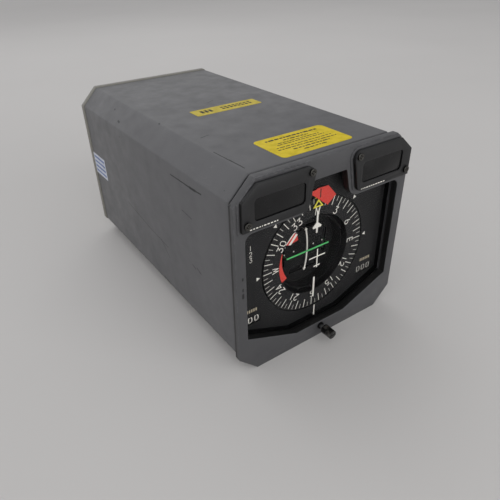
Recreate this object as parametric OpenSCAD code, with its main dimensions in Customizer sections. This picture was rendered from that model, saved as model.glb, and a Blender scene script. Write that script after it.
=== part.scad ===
/* [Bezel] */
// Width of the bezel across the panel
bezel_w = 127; // [124:0.5:134]
// Height of the bezel
bezel_h = 126.2; // [124:0.2:134]
// Corner chamfer of the bezel
bezel_chamfer = 12.9; // [11.5:0.1:14.5]
// Thickness of the bezel flange in front of the panel
flange_t = 4.1; // [3.6:0.1:5]
// Depth from the bezel face to the front edge of the case
neck_depth = 7; // [6.6:0.1:8]
// How far the neck behind the flange is set in from the flange
neck_inset = 2.6; // [2.3:0.1:2.8]
// Depth from the bezel face to the back of the spigot inside the case
spigot_depth = 13.4; // [13.2:0.1:14]
// Wall of the spigot inside the case
spigot_wall = 1.6; // [1.2:0.1:1.8]

/* [Opening] */
// How far the opening's sides are set in from the case's sides
side_rail = 4.6; // [4.4:0.1:6.1]
// Height of the opening's flat bottom edge above the base
open_bottom = 11.1; // [10:0.1:12.5]
// Half length of the opening's flat bottom edge
open_bottom_half = 20; // [15:0.5:26]
// Height where the slanted bottom edges meet the sides
open_corner_z = 26.1; // [22:0.1:28]
// Height of the opening's top beside the notch
open_side_top = 96.1; // [95:0.1:97]
// Height of the notch between the two pads
open_notch_top = 113.9; // [112:0.1:115]
// Half width of the notch at its top
open_notch_half = 11.8; // [11:0.1:12.2]
// How much wider the notch is, each side, at the opening's top
notch_spread = 4.1; // [3:0.1:4.4]
// Radius of the notch's upper corners
notch_r = 1.5; // [1:0.1:2.5]
// Radius of the opening's upper outer corners
open_corner_r = 5; // [2:0.5:7]
// Radius of each pad's lower inner corner
lug_r = 8; // [6:0.5:9]

/* [Windows] */
// How far the raised pads stand in front of the bezel face
pad_t = 1; // [0.6:0.1:1.4]
// Distance from the centre to a window cover's upper inner corner
cover_x0 = 13.2; // [12.8:0.1:14]
// How far the cover's inner edge leans outward from top to bottom
cover_spread = 4.9; // [3.5:0.1:5.2]
// Distance from the centre to the outer edge of a window cover
cover_x1 = 60.5; // [60:0.1:61]
// Height of the lower edge of a window cover
cover_z0 = 99.5; // [99:0.1:100]
// Height of the upper edge of a window cover
cover_z1 = 124.2; // [124:0.1:124.8]
// Thickness of a window cover
cover_t = 2.5; // [2.2:0.1:3]
// Distance from the centre to the inner edge of a window
window_x0 = 20.6; // [20.2:0.1:22]
// Width of a window
window_w = 32.5; // [30:0.1:32.8]
// Height of the lower edge of a window
window_z0 = 104.4; // [104.2:0.1:105.5]
// Height of a window
window_h = 12.3; // [10.5:0.1:12.6]
// Corner radius of a window
window_r = 2.2; // [1:0.1:3]
// Radius of the window screw heads
window_screw_r = 2.1; // [1.9:0.1:2.5]

/* [Case] */
// Width of the case
case_w = 123.2; // [123.2:0.1:124.2]
// Height of the case
case_h = 124.6; // [124.4:0.1:124.8]
// Corner chamfer of the case
case_chamfer = 12.1; // [11:0.1:12.6]
// Wall of the case shell
case_wall = 1.5; // [1.2:0.1:1.6]
// Depth from the bezel face to the back of the case
case_depth = 222.7; // [215:0.1:240]
// Thickness of the rear plate
rear_t = 4.6; // [3.6:0.1:6]
// How far the rear plate stands out past the case at the sides
rear_lip = 0.8; // [0.4:0.1:1.2]

/* [Dial] */
// Height of the dial centre above the base
dial_z = 57.7; // [56.8:0.1:58]
// Depth from the bezel face to the front of the mask
mask_y = 9.6; // [9.4:0.1:9.8]
// Thickness of the mask
mask_t = 1; // [0.8:0.1:1.1]
// Radius of the mask's round opening
mask_r = 40.2; // [40.1:0.1:40.4]
// Outer radius of the compass card
card_r = 38.9; // [38.7:0.1:39]
// Inner radius of the compass card
card_inner_r = 27.2; // [26.4:0.1:28]
// Thickness of the compass card
card_t = 0.8; // [0.6:0.1:0.9]
// Thickness of the glass
glass_t = 2.4; // [2:0.1:2.5]

/* [Drive] */
// Teeth on the card gear
card_teeth = 96; // [96:48:96]
// Module of the card gear
card_module = 0.85; // [0.84:0.01:0.86]
// Teeth on the bug gear
bug_teeth = 96; // [96:48:96]
// Module of the bug gear
bug_module = 0.9; // [0.89:0.01:0.905]
// Teeth on the course gear
course_teeth = 64; // [64:64:64]
// Module of the course gear
course_module = 0.75; // [0.74:0.01:0.76]
// Teeth on each pinion
pinion_teeth = 16; // [16:16:16]
// Radius of each servo motor
motor_r = 9.5; // [9:0.1:10]
// Length of each servo motor's body
motor_len = 34; // [30:1:42]
// Radius of each motor shaft
motor_shaft_r = 1.5; // [1.2:0.1:1.8]

/* [Counters] */
// Distance from the case's side to the middle of the left counter
left_counter_in = 13.3; // [13.2:0.1:13.8]
// Distance from the case's side to the middle of the right counter
right_counter_in = 15; // [14.1:0.1:15.1]
// Height of the counter windows' centre line
counter_z = 29; // [28.6:0.1:29.3]
// Radius of a counter drum
drum_r = 8.3; // [8:0.1:8.4]
// Width of a counter drum
drum_w = 4.3; // [4:0.05:4.35]
// Distance between the middles of two drums
drum_pitch = 4.6; // [4.6:0.05:4.65]

/* [Knob] */
// Height of the knob above the case's lower edge
knob_rise = 6.6; // [6.5:0.1:7]
// Radius of the knob at its back
knob_r = 3.2; // [2.8:0.1:3.4]
// Radius of the knob at its front
knob_tip_r = 3; // [2.6:0.05:3.2]
// Length of the knob
knob_len = 7.7; // [7:0.1:10]
// Distance from the bezel face to the back of the knob
knob_gap = 4; // [3:0.1:5]
// Radius of the knob's shaft
knob_shaft_r = 1.2; // [1:0.1:1.3]

/* [Carriage] */
// Outer radius of the course carriage
carriage_r = 25.1; // [24.9:0.1:25.4]
// Depth of the carriage floor from the bezel face
floor_y = 19.8; // [19.6:0.1:20.2]
// Distance of the deviation bar's pivot behind the bezel face
deviation_pivot_y = 68; // [66:0.5:70]
// Distance of the glideslope bar's pivot behind the bezel face
glideslope_pivot_y = 46; // [44:0.5:48]
// Half length of the deviation bar
deviation_half = 14.7; // [13.9:0.1:15]
// Half length of the glideslope bar
glideslope_half = 17; // [16.8:0.1:17.2]
// Radius of the carriage's hub shaft
hub_r = 5; // [4.5:0.1:5.5]

/* [Rear] */
// Distance of each rear connector from the centre line
connector_x = 27; // [24:0.5:32]
// Height of the rear connectors
connector_z = 64; // [50:1:80]
// Outer radius of a connector barrel
connector_r = 11; // [10:0.1:11.5]
// How far a connector barrel stands behind the case
connector_len = 11.7; // [11:0.1:16]

/* [Labels] */
// Width of the front label
front_label_w = 50.7; // [40:0.1:60]
// Length of the front label
front_label_l = 29.1; // [20:0.1:36]
// Width of the rear label
rear_label_w = 51; // [40:0.5:60]
// Length of the rear label
rear_label_l = 12.4; // [8:0.1:20]
// Length of the side label
side_label_l = 25; // [15:0.5:28]
// Height of the side label
side_label_h = 17.7; // [10:0.1:24]
// Thickness of the labels
label_t = 0.15; // [0.1:0.05:0.3]

/* [Clearances] */
// Running clearance of a shaft in its bore
run = 0.05; // [0.03:0.01:0.08]
// Clearance of the inner frames inside the case
fit = 0.4; // [0.3:0.05:0.5]

/* [Hidden] */
$fn = 96;

// Places across the case
case_z0 = (bezel_h - case_h) / 2;
case_z1 = case_z0 + case_h;
open_half_w = case_w / 2 - side_rail;
left_counter_x = case_w / 2 - left_counter_in;
right_counter_x = case_w / 2 - right_counter_in;
knob_z = case_z0 + knob_rise;

// Places along the depth, measured back from the bezel face
ledge_y = mask_y - 5.6;
gasket_t = 0.6;
glass_y = ledge_y + gasket_t;
glass_back_y = glass_y + glass_t;
mask_back_y = mask_y + mask_t;
bug_gear_y = mask_back_y + 0.4;
gear_t = 2;
front_frame_y = spigot_depth;
frame_t = 3.5;
front_back_y = front_frame_y + frame_t;
card_gear_y = front_back_y + 1.1;
card_gear_t = 2.5;
mid_frame_y = card_gear_y + card_gear_t + 1;
mid_back_y = mid_frame_y + frame_t;
ring_y = mid_back_y + 3;
ring_t = 2;
motor_y = ring_y + ring_t + 0.2;
carriage_back_y = deviation_pivot_y + 10;
course_gear_y = carriage_back_y + 2;
gear_frame_y = course_gear_y + gear_t + 3;
plate_t = 4;
gear_back_y = gear_frame_y + plate_t;
slip_bay = 18;
rear_frame_y = gear_back_y + slip_bay;
rear_back_y = rear_frame_y + plate_t;
rear_plate_y = case_depth - rear_t;
connector_back_y = case_depth + connector_len;
place_y = (knob_gap + knob_len - connector_back_y) / 2;

// Margins of what sits behind the opening
glass_margin = 1.4;
pocket_margin = 1.5;
gasket_margin = 1.3;
retainer_margin = 0.9;
retainer_top = 94;
retainer_lap = 0.2;

// Outlines inside the case
spigot_gap = 0.25;
spigot_out = case_wall + spigot_gap;
spigot_in = spigot_out + spigot_wall;
mask_in = spigot_in + 0.2;
frame_in = case_wall + fit;
octagon_slope = 2 - sqrt(2);

// Windows and their screws
pocket_gap = 0.4;
display_gap = 0.2;
rebate = 1.3;
rebate_gap = 0.1;
display_window_t = 1.8;
pad_grow = 1.3;
pad_edge = 0.2;
window_screw_head = 1.1;
window_screw_shank = 1.2;
window_screw_in = 2.6;
recess_len = 2.4;
recess_w = 0.6;
recess_depth = 0.7;
screw_inner = [cover_x0 + 3.8, cover_z1 - 3.2];
screw_outer = [cover_x1 - 3, cover_z0 + 3.9];
cover_chamfer_x = 9.4;
cover_chamfer_z = 8.2;
cover_round = 5;
cover_round_small = 3.5;

// Screws that hold the bezel to the front frame
boss_r = 3;
boss_x = case_w / 2 - 15.6;
boss_z0 = case_z0 + 9.2;
boss_z1 = case_z1 - 9.4;
boss_screw_r = 1.4;
boss_screw_head_r = 2.4;

// Pillars between the frames
pillar_r = 3;
pillar_x = case_w / 2 - 9.6;
pillar_z0 = case_z0 + 11.2;
pillar_z1 = case_z1 - 15.4;

// Knob and its potentiometer
pot_r = 2.9;
pot_len = 9;
pot_bush_r = 2.4;
pot_bush_out = 0.6;
pot_bush_back = ledge_y - 0.3;
pot_notch = 4.5;
pot_notch_z = knob_z + pot_r + 0.7;
knob_bore_depth = 6;

// Card, bug and their bearings
sleeve_r = card_r - 0.2;
sleeve_in = sleeve_r - 1.3;
card_bearing_r = sleeve_r + 2.3;
bug_in = sleeve_r + 0.7;
bug_journal_r = bug_in + 1.6;
bug_bearing_r = bug_journal_r + 1.6;
bug_tab_r = (card_r + mask_r) / 2;
bug_tab_t = 0.5;
bug_tab_w = 5;
bug_y = mask_y - 1;
bug_base_r = 33.2;
bug_half = 3.8;
bug_stem_w = 0.7;
bug_apex_r = 38.4;
bug_stem_r = bug_apex_r - 1.2;
marker_t = 0.4;
card_ring_r = card_module * card_teeth / 2;
bug_ring_r = bug_module * bug_teeth / 2;
course_ring_r = course_module * course_teeth / 2;
card_pinion_r = card_module * pinion_teeth / 2;
bug_pinion_r = bug_module * pinion_teeth / 2;
course_pinion_r = course_module * pinion_teeth / 2;
card_motor_turn = -60;
bug_motor_turn = 60;
course_motor_turn = 90;
motor_boss_r = 4.5;
motor_shaft_in = 12;
motor_cap_in = 3;
motor_cap_t = 2;
shaft_room = 1;
hub_bearing_r = hub_r + 3;
ring_wall = 1.2;

// Carriage and what it carries
cup_wall = 0.8;
floor_t = 1.5;
post_r = 1.5;
post_x = 19.05;
post_z = 11;
carriage_plate_t = 2;
carriage_plate_r = carriage_r - 0.7;
deviation_slot = [22, 3.4];
glideslope_slot = [3.4, 17.5];
nav_shaft_hole = 0.9;
arrow_y = mask_y - 1;
arrow_in = 16;
arrow_out = 33;
arrow_w = 1.1;
tail_in = 16.4;
tail_out = 31.7;
arrow_post = 1;
deviation_y = 17.5;
deviation_bow = 1.7;
bar_over = 0.8;
deviation_x = 1.1;
bar_w = 0.9;
bar_t = 0.5;
arm_t = 0.8;
arm_w = 1.8;
arm_x = -1.4;
glideslope_y = 15.2;
arbor_r = 0.8;
meter_r = 8;
deviation_meter_half = 11;
glideslope_meter_half = 12;
bracket_t = 3;
bracket_half = 21;
bracket_edge = 13.2;
bracket_gap = 5;
nav_turn = -45;
nav_pin_r = 19.9;
nav_pin_y = 16.4;
nav_shift = -1.2;
nav_w = 9.4;
nav_side = [5.4, -3.2];
nav_tip = [2.8, -7.2];
nav_tail = [-2.8, -3.4];
nav_t = 0.4;
nav_pin = 0.6;
nav_ear = 0.8;
nav_ear_gap = 0.4;
nav_pin_end = 1.4;
nav_motor_r = 3;
nav_motor_turn = -42;
nav_motor_at = 20.45;
nav_motor_len = 10;

// Flags between the glass and the mask
flag_t = 0.4;
flag_y = mask_y - 1.9;
flag_pivot_x = -30;
flag_pivot_z = 100;
flag_shaft_r = 0.8;
flag_shaft_back = front_back_y + 8;
flag_motor_r = 6;
flag_motor_len = 14;
flag_hub_r = 2;
flag_hole_end = 1;
flag_arm_half = 0.9;
flag_arm_ends = [[-6, 42.4], [-2, 45.2]];
flag_tip = [[-6.2, 43], [-2, 45.8], [6, 45.5], [12.6, 38], [6.3, 33.1]];
arc_turn = -71;
arc_pivot_r = 31.5;
arc_y = mask_y + card_t + 1.2;
cup_y = arc_y + flag_t + 0.4;
arc_motor_r = 4;
outrigger_half = 3;
arc_motor_y = arc_y + flag_t + 1;
arc_shaft_back = floor_y - 1;
arc_end_turn = -118;
arc_band_out = 30.8;
arc_edge_at = [0.9, 3.2];
arc_edge_r = 24.7;

// Counters
drum_y = mask_back_y - 0.3 + drum_r;
drum_bore = 1 + run;
counter_shaft_r = 1;
counter_half = drum_pitch + drum_w / 2;
counter_side = 0.8;
counter_side_gap = 0.3;
counter_side_half_z = 5;
counter_back_y = drum_y + drum_r + 0.5;
counter_back_t = 1.5;
counter_back_drop = 11.5;
counter_back_rise = 10;
counter_window_half = 7;
counter_window_h = 5.6;
counter_foot = 1.4;
counter_room = 0.45;
counter_side_y = mask_back_y + 2;

// Slip rings, brushes and boards
slip_count = 6;
slip_w = 1.2;
slip_step = 2.2;
slip_y = gear_back_y + 2.5;
slip_r = hub_r + 2.5;
brush_gap = 0.3;
board_t = 1.6;
board_gap = 18;
board_step = 26;
board_y = rear_back_y + board_gap;
board_count = 3;
board_half = case_w / 2 - 5.6;
board_z0 = case_z0 + 6.2;
board_z1 = case_z1 - 8.4;

// Rear connectors and ground stud
connector_flange = connector_r + 2;
connector_flange_t = 1.8;
connector_wall = 1.5;
connector_tail = 6;
connector_screw_at = connector_flange - 2.8;
connector_screw_r = 1.8;
connector_screw_t = 1.4;
key_w = 1.6;
key_len = 8;
insert_y = case_depth - 1;
insert_t = 4;
pin_r = 0.6;
pin_len = 9;
pin_step = 3.2;
pin_rings = [[1, 0], [6, pin_step], [12, 2 * pin_step]];
rear_screw_r = 2.4;
rear_screw_t = 1.6;
rear_screw_shank = 1.25;
rear_screw_in = 5;
stud_z = 26;
stud_r = 2.4;
stud_tail = 4;
stud_len = 9;
nut_r = 4.4;
nut_t = 3.2;

// Places of the labels
front_label_x = 1.55;
front_label_y = 25.85;
rear_label_x = 2.5;
rear_label_y = 107.6;
side_label_z = 57.8;
label_corner = 3;
rear_label_corner = 1;

// Draws a flat outline in the plane across the depth, from y0 back to y1
module slab(y0, y1) {
    translate([0, y1, 0]) rotate([90, 0, 0]) linear_extrude(y1 - y0) children();
}

// Moves from the bezel's face and base centre to the origin under the whole part
module place() { translate([0, place_y, 0]) children(); }

// Moves an outline to the dial centre
module at_dial() { translate([0, dial_z]) children(); }

// Point at a radius and a turn clockwise from the top
function polar(r, turn) = [r * sin(turn), r * cos(turn)];

module ring(outer, inner) {
    difference() {
        circle(outer);
        circle(inner);
    }
}

// Eight-sided outline of the bezel, set in by the same distance all round
module octagon(w, h, chamfer, inset) {
    x = w / 2 - inset;
    z0 = bezel_h / 2 - h / 2 + inset;
    z1 = bezel_h / 2 + h / 2 - inset;
    c = chamfer - inset * octagon_slope;
    polygon([[-x, z0 + c], [-x + c, z0], [x - c, z0], [x, z0 + c],
        [x, z1 - c], [x - c, z1], [-x + c, z1], [-x, z1 - c]]);
}

module bezel_outline(inset = 0) { octagon(bezel_w, bezel_h, bezel_chamfer, inset); }

module case_outline(inset = 0) { octagon(case_w, case_h, case_chamfer, inset); }

// Waste between a corner and the round of radius r that touches both its edges;
// a and b are unit directions along the edges
module round_waste(corner, a, b, r) {
    over = 0.01;
    half_turn = acos(a * b) / 2;
    reach = r / tan(half_turn);
    centre = corner + (a + b) * reach / (2 * cos(half_turn) * cos(half_turn));
    end_a = corner + reach * a;
    end_b = corner + reach * b;
    difference() {
        polygon([corner - over * (a + b), end_a + (end_a - centre) * over / r, centre,
            end_b + (end_b - centre) * over / r]);
        translate(centre) circle(r);
    }
}

// Square corner with a rounded tip: what is left outside the round
module corner_waste(r) {
    difference() {
        square(r + 0.01);
        circle(r);
    }
}

// Shape of the dial opening, grown by a margin
module opening(margin = 0) {
    slope = (open_corner_z - open_bottom) / (open_half_w - open_bottom_half);
    rise = margin * sqrt(1 + slope * slope);
    x = open_half_w + margin;
    zc = open_corner_z + margin * slope - rise;
    xb = open_bottom_half + (rise - margin) / slope;
    top = open_side_top + margin;
    notch_top = open_notch_top + margin;
    lean = notch_spread / (open_notch_top - open_side_top);
    edge = sqrt(1 + lean * lean);
    upper = open_notch_half + margin * (edge - lean);
    lower = upper + notch_spread;
    up = [-lean, 1] / edge;
    round_r = open_corner_r + margin;
    difference() {
        union() {
            polygon([[-x, zc], [-xb, open_bottom - margin], [xb, open_bottom - margin],
                [x, zc], [x, top], [lower, top], [upper, notch_top], [-upper, notch_top],
                [-lower, top], [-x, top]]);
            for (side = [-1, 1]) mirror([side > 0 ? 0 : 1, 0])
                round_waste([lower, top], up, [1, 0], lug_r - margin);
        }
        for (side = [-1, 1]) mirror([side > 0 ? 0 : 1, 0]) {
            translate([x - round_r, top - round_r]) corner_waste(round_r);
            round_waste([upper, notch_top], -up, [-1, 0], notch_r + margin);
        }
    }
}

// Gear outline with a tooth on the x axis
module gear_outline(teeth, m) {
    r = teeth * m / 2;
    root = r - 1.1 * m;
    tip = r + 0.8 * m;
    tooth = [[root, -1.05 * m], [tip, -0.38 * m], [tip, 0.38 * m], [root, 1.05 * m]];
    polygon([for (i = [0:teeth - 1]) for (p = tooth)
        let (a = 360 / teeth * i + p[1] / p[0] * 180 / PI) [p[0] * cos(a), p[0] * sin(a)]]);
}

// Pinion on its motor shaft, meshed with a ring gear of radius gear_r
module pinion(turn, gear_r, m, y0, t, shaft_y) {
    at = polar(gear_r + pinion_teeth * m / 2, turn);
    translate([at[0], 0, dial_z + at[1]]) {
        slab(y0, y0 + t) rotate(270 - turn + 180 / pinion_teeth) gear_outline(pinion_teeth, m);
        slab(y0, shaft_y + motor_shaft_in) circle(motor_shaft_r);
    }
}

module card_motor_at() {
    translate(polar(card_ring_r + card_pinion_r, card_motor_turn)) children();
}

module bug_motor_at() {
    translate(polar(bug_ring_r + bug_pinion_r, bug_motor_turn)) children();
}

module course_motor_at() {
    translate(polar(course_ring_r + course_pinion_r, course_motor_turn)) children();
}

// Outline of a window cover or its pad, right side, grown by a margin
module cover_outline(margin = 0) {
    lean = cover_spread / (cover_z1 - cover_z0);
    edge = sqrt(1 + lean * lean);
    upper = cover_x0 - margin * (edge + lean);
    lower = cover_x0 + cover_spread - margin * (edge - lean);
    down = [lean, -1] / edge;
    x1 = cover_x1 + margin;
    z0 = cover_z0 - margin;
    z1 = cover_z1 + margin;
    difference() {
        polygon([[lower, z0], [x1, z0], [x1, z1 - cover_chamfer_z], [x1 - cover_chamfer_x, z1],
            [upper, z1]]);
        round_waste([upper, z1], down, [1, 0], cover_round + margin);
        round_waste([lower, z0], -down, [1, 0], cover_round_small + margin);
    }
}

module rounded_box(x0, z0, w, h, r) {
    difference() {
        translate([x0, z0]) square([w, h]);
        translate([x0 + w - r, z0 + h - r]) corner_waste(r);
        translate([x0 + w - r, z0 + r]) rotate(-90) corner_waste(r);
        translate([x0 + r, z0 + r]) rotate(180) corner_waste(r);
        translate([x0 + r, z0 + h - r]) rotate(90) corner_waste(r);
    }
}

// Window outline, grown by a margin
module window_outline(margin = 0) {
    rounded_box(window_x0 - margin, window_z0 - margin, window_w + 2 * margin,
        window_h + 2 * margin, window_r);
}

// Repeats what is drawn on the right on the left too
module both_sides() {
    children();
    mirror([1, 0, 0]) children();
}

module boss_places() {
    for (x = [-boss_x, boss_x]) for (z = [boss_z0, boss_z1]) translate([x, z]) children();
}

module pillar_places() {
    for (x = [-pillar_x, pillar_x]) for (z = [pillar_z0, pillar_z1]) translate([x, z]) children();
}

module window_screw_places() {
    for (side = [-1, 1]) for (p = [screw_inner, screw_outer]) translate([side * p[0], p[1]])
        children();
}

// Room for a counter in a plate
module counter_notch(x) {
    side = counter_half + counter_side_gap + counter_side + counter_room;
    body = counter_half + counter_room;
    low = counter_z - drum_r - 2 * counter_room;
    mid = counter_z + counter_side_half_z + counter_room;
    translate([x - side, low]) square([2 * side, mid - low]);
    translate([x - body, mid]) square([2 * body, drum_r - counter_side_half_z + counter_room]);
}

module counter_notches() {
    counter_notch(-left_counter_x);
    counter_notch(right_counter_x);
}

module pot_notch() {
    translate([-pot_notch, 0]) square([2 * pot_notch, pot_notch_z]);
}

module bezel() {
    color("#4b4c4e") place() difference() {
        union() {
            slab(0, flange_t) bezel_outline();
            slab(flange_t, neck_depth) bezel_outline(neck_inset);
            slab(neck_depth, spigot_depth) difference() {
                case_outline(spigot_out);
                case_outline(spigot_in);
            }
            slab(neck_depth, spigot_depth) boss_places() circle(boss_r);
            both_sides() slab(-pad_t, 0) intersection() {
                cover_outline(pad_grow);
                bezel_outline(pad_edge);
            }
        }
        slab(-pad_t - 1, ledge_y) opening();
        slab(ledge_y, neck_depth) opening(pocket_margin);
        both_sides() slab(-pad_t - 1, neck_depth + 1) window_outline(-pocket_gap);
        slab(-pad_t - 1, window_screw_in) window_screw_places() circle(window_screw_shank);
        slab(neck_depth + 1, spigot_depth + 1) boss_places() circle(boss_screw_r);
        slab(-1, pot_bush_back) translate([0, knob_z]) circle(pot_bush_r);
        slab(-1, neck_depth) translate([0, knob_z]) circle(knob_shaft_r + run);
    }
}

module front_glass() {
    color("#20242a", 0.25) place() slab(glass_y, glass_back_y) opening(glass_margin);
}

module glass_gasket() {
    color("#161616") place() slab(ledge_y, glass_y) difference() {
        opening(gasket_margin);
        opening(retainer_lap);
    }
}

module glass_retainer() {
    color("#1c1c1c") place() slab(glass_back_y, mask_y) difference() {
        intersection() {
            difference() {
                opening(retainer_margin);
                opening(retainer_lap);
            }
            translate([-bezel_w, 0]) square([2 * bezel_w, retainer_top]);
        }
        pot_notch();
    }
}

module window_cover() {
    difference() {
        slab(-pad_t - cover_t, -pad_t) cover_outline();
        slab(-pad_t - cover_t - 1, 0) window_outline();
        slab(-pad_t - display_window_t - rebate_gap, 0) window_outline(rebate + rebate_gap);
        slab(-pad_t - cover_t - 1, 0) for (p = [screw_inner, screw_outer]) translate(p)
            circle(window_screw_shank + run);
    }
}

module right_window_cover() {
    color("#3a3a3a") place() window_cover();
}

module left_window_cover() {
    color("#3a3a3a") place() mirror([1, 0, 0]) window_cover();
}

module display_windows() {
    color("#1c1c1e") place() both_sides()
        slab(-pad_t - display_window_t, -pad_t) window_outline(rebate);
}

module display_modules() {
    color("#202225") place() both_sides()
        slab(-pad_t + rebate_gap, neck_depth) window_outline(-pocket_gap - display_gap);
}

module window_screws() {
    color("#8a8c8e") place() {
        face = -pad_t - cover_t;
        difference() {
            slab(face - window_screw_head, face) window_screw_places() circle(window_screw_r);
            slab(face - window_screw_head - 1, face - window_screw_head + recess_depth)
                window_screw_places() for (a = [0, 90]) rotate(a)
                    square([recess_len, recess_w], center = true);
        }
        slab(face, window_screw_in) window_screw_places() circle(window_screw_shank);
    }
}

module case_shell() {
    color("#65676a") place() slab(neck_depth, rear_plate_y) difference() {
        case_outline();
        case_outline(case_wall);
    }
}

module rear_plate() {
    color("#6c6b63") place() difference() {
        slab(rear_plate_y, case_depth)
            octagon(case_w + 2 * rear_lip, bezel_h, case_chamfer + rear_lip, 0);
        slab(rear_plate_y - 1, case_depth + 1) {
            for (x = [-connector_x, connector_x]) translate([x, connector_z])
                circle(connector_r - connector_wall);
            pillar_places() circle(rear_screw_shank + run);
            translate([0, stud_z]) circle(stud_r);
        }
    }
}

module rear_screws() {
    color("#8f9092") place() {
        slab(case_depth, case_depth + rear_screw_t) pillar_places() circle(rear_screw_r);
        slab(rear_plate_y - rear_screw_in, case_depth) pillar_places() circle(rear_screw_shank);
        slab(case_depth + connector_flange_t, case_depth + connector_flange_t + connector_screw_t)
            connector_screw_places() circle(connector_screw_r);
    }
}

module connector_screw_places() {
    for (cx = [-connector_x, connector_x]) for (sx = [-1, 1]) for (sz = [-1, 1])
        translate([cx + sx * connector_screw_at, connector_z + sz * connector_screw_at]) children();
}

module bezel_screws() {
    color("#8f9092") place() {
        slab(neck_depth + 2, front_back_y) boss_places() circle(boss_screw_r);
        slab(front_back_y, front_back_y + 1) boss_places() circle(boss_screw_head_r);
    }
}

module rear_connectors() {
    color("#84826f") place() for (x = [-connector_x, connector_x]) translate([x, 0, connector_z])
        difference() {
            union() {
                slab(case_depth, case_depth + connector_flange_t)
                    square(2 * connector_flange, center = true);
                slab(case_depth, connector_back_y) circle(connector_r);
                slab(rear_plate_y - connector_tail, case_depth)
                    circle(connector_r - connector_wall);
            }
            slab(insert_y, connector_back_y + 1) circle(connector_r - connector_wall);
            slab(connector_back_y - key_len, connector_back_y + 1) translate([0, connector_r])
                square([key_w, 2.5 * connector_wall], center = true);
        }
}

module connector_inserts() {
    color("#5a3a2c") place() for (x = [-connector_x, connector_x]) translate([x, 0, connector_z])
        slab(insert_y, insert_y + insert_t) difference() {
            circle(connector_r - connector_wall - run);
            pin_places() circle(pin_r);
        }
}

module pin_places() {
    for (row = pin_rings) for (i = [0:row[0] - 1]) translate(polar(row[1], 360 / row[0] * i))
        children();
}

module connector_pins() {
    color("#c9a84c") place() for (x = [-connector_x, connector_x]) translate([x, 0, connector_z])
        slab(insert_y, insert_y + pin_len) pin_places() circle(pin_r);
}

module ground_stud() {
    color("#9a9a98") place() translate([0, 0, stud_z]) {
        slab(rear_plate_y - stud_tail, case_depth + stud_len) circle(stud_r);
        slab(case_depth, case_depth + nut_t) difference() {
            circle(r = nut_r, $fn = 6);
            circle(stud_r);
        }
    }
}

module front_label() {
    color("#c8b42d") place() translate([front_label_x, front_label_y, case_z1])
        linear_extrude(label_t)
            rounded_box(-front_label_w / 2, -front_label_l / 2, front_label_w, front_label_l,
                label_corner);
}

module rear_label() {
    color("#b9a637") place() translate([rear_label_x, rear_label_y, case_z1])
        linear_extrude(label_t)
            rounded_box(-rear_label_w / 2, -rear_label_l / 2, rear_label_w, rear_label_l,
                rear_label_corner);
}

module side_label() {
    color("#d5d8de") place()
        translate([-case_w / 2 - label_t, rear_plate_y - side_label_l, side_label_z])
            cube([label_t, side_label_l, side_label_h]);
}

module dimmer_knob() {
    grooves = 20;
    groove_r = 0.18;
    plain_front = 3.2;
    slot = 0.6;
    front = -knob_gap - knob_len;
    color("#151515") place() translate([0, 0, knob_z]) difference() {
        translate([0, front, 0]) rotate([-90, 0, 0])
            cylinder(h = knob_len, r1 = knob_tip_r, r2 = knob_r);
        slab(-knob_gap - knob_bore_depth, 1) circle(knob_shaft_r);
        for (i = [0:grooves - 1]) rotate([0, 360 / grooves * i, 0])
            translate([knob_r, front + plain_front, 0]) rotate([-90, 0, 0])
                cylinder(h = knob_len, r = groove_r, $fn = 4);
        slab(front - 1, front + slot) square([2 * knob_r, slot], center = true);
    }
}

module knob_shaft() {
    color("#2a2a2a") place() translate([0, 0, knob_z])
        slab(-knob_gap - knob_bore_depth, neck_depth + pot_len - 1.5) circle(knob_shaft_r);
}

module dimmer_pot() {
    color("#3b4a3a") place() translate([0, 0, knob_z]) difference() {
        union() {
            slab(neck_depth, neck_depth + pot_len) circle(pot_r);
            slab(-pot_bush_out, pot_bush_back) circle(pot_bush_r);
        }
        slab(-2, neck_depth + pot_len - 1) circle(knob_shaft_r + run);
    }
}

module dial_mask() {
    color("#262626") place() slab(mask_y, mask_back_y) difference() {
        case_outline(mask_in);
        at_dial() circle(mask_r);
        pot_notch();
        boss_places() circle(boss_r + 0.2);
        for (x = [-left_counter_x, right_counter_x])
            translate([x - counter_window_half, counter_z - counter_window_h / 2])
                square([2 * counter_window_half, counter_window_h]);
        translate([flag_pivot_x, flag_pivot_z]) circle(flag_shaft_r + run);
    }
}

module compass_card() {
    color("#2b2b2b") place() translate([0, 0, dial_z]) {
        slab(mask_y, mask_y + card_t) ring(card_r, card_inner_r);
        slab(mask_y + card_t, mid_back_y + 0.4) ring(sleeve_r, sleeve_in);
        slab(card_gear_y, card_gear_y + card_gear_t) difference() {
            gear_outline(card_teeth, card_module);
            circle(sleeve_r);
        }
    }
}

module card_bearing() {
    color("#a9abad") place() translate([0, 0, dial_z])
        slab(mid_frame_y, mid_back_y) ring(card_bearing_r, sleeve_r + run);
}

module card_pinion() {
    color("#b08d4a") place()
        pinion(card_motor_turn, card_ring_r, card_module, card_gear_y, card_gear_t, motor_y);
}

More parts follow.
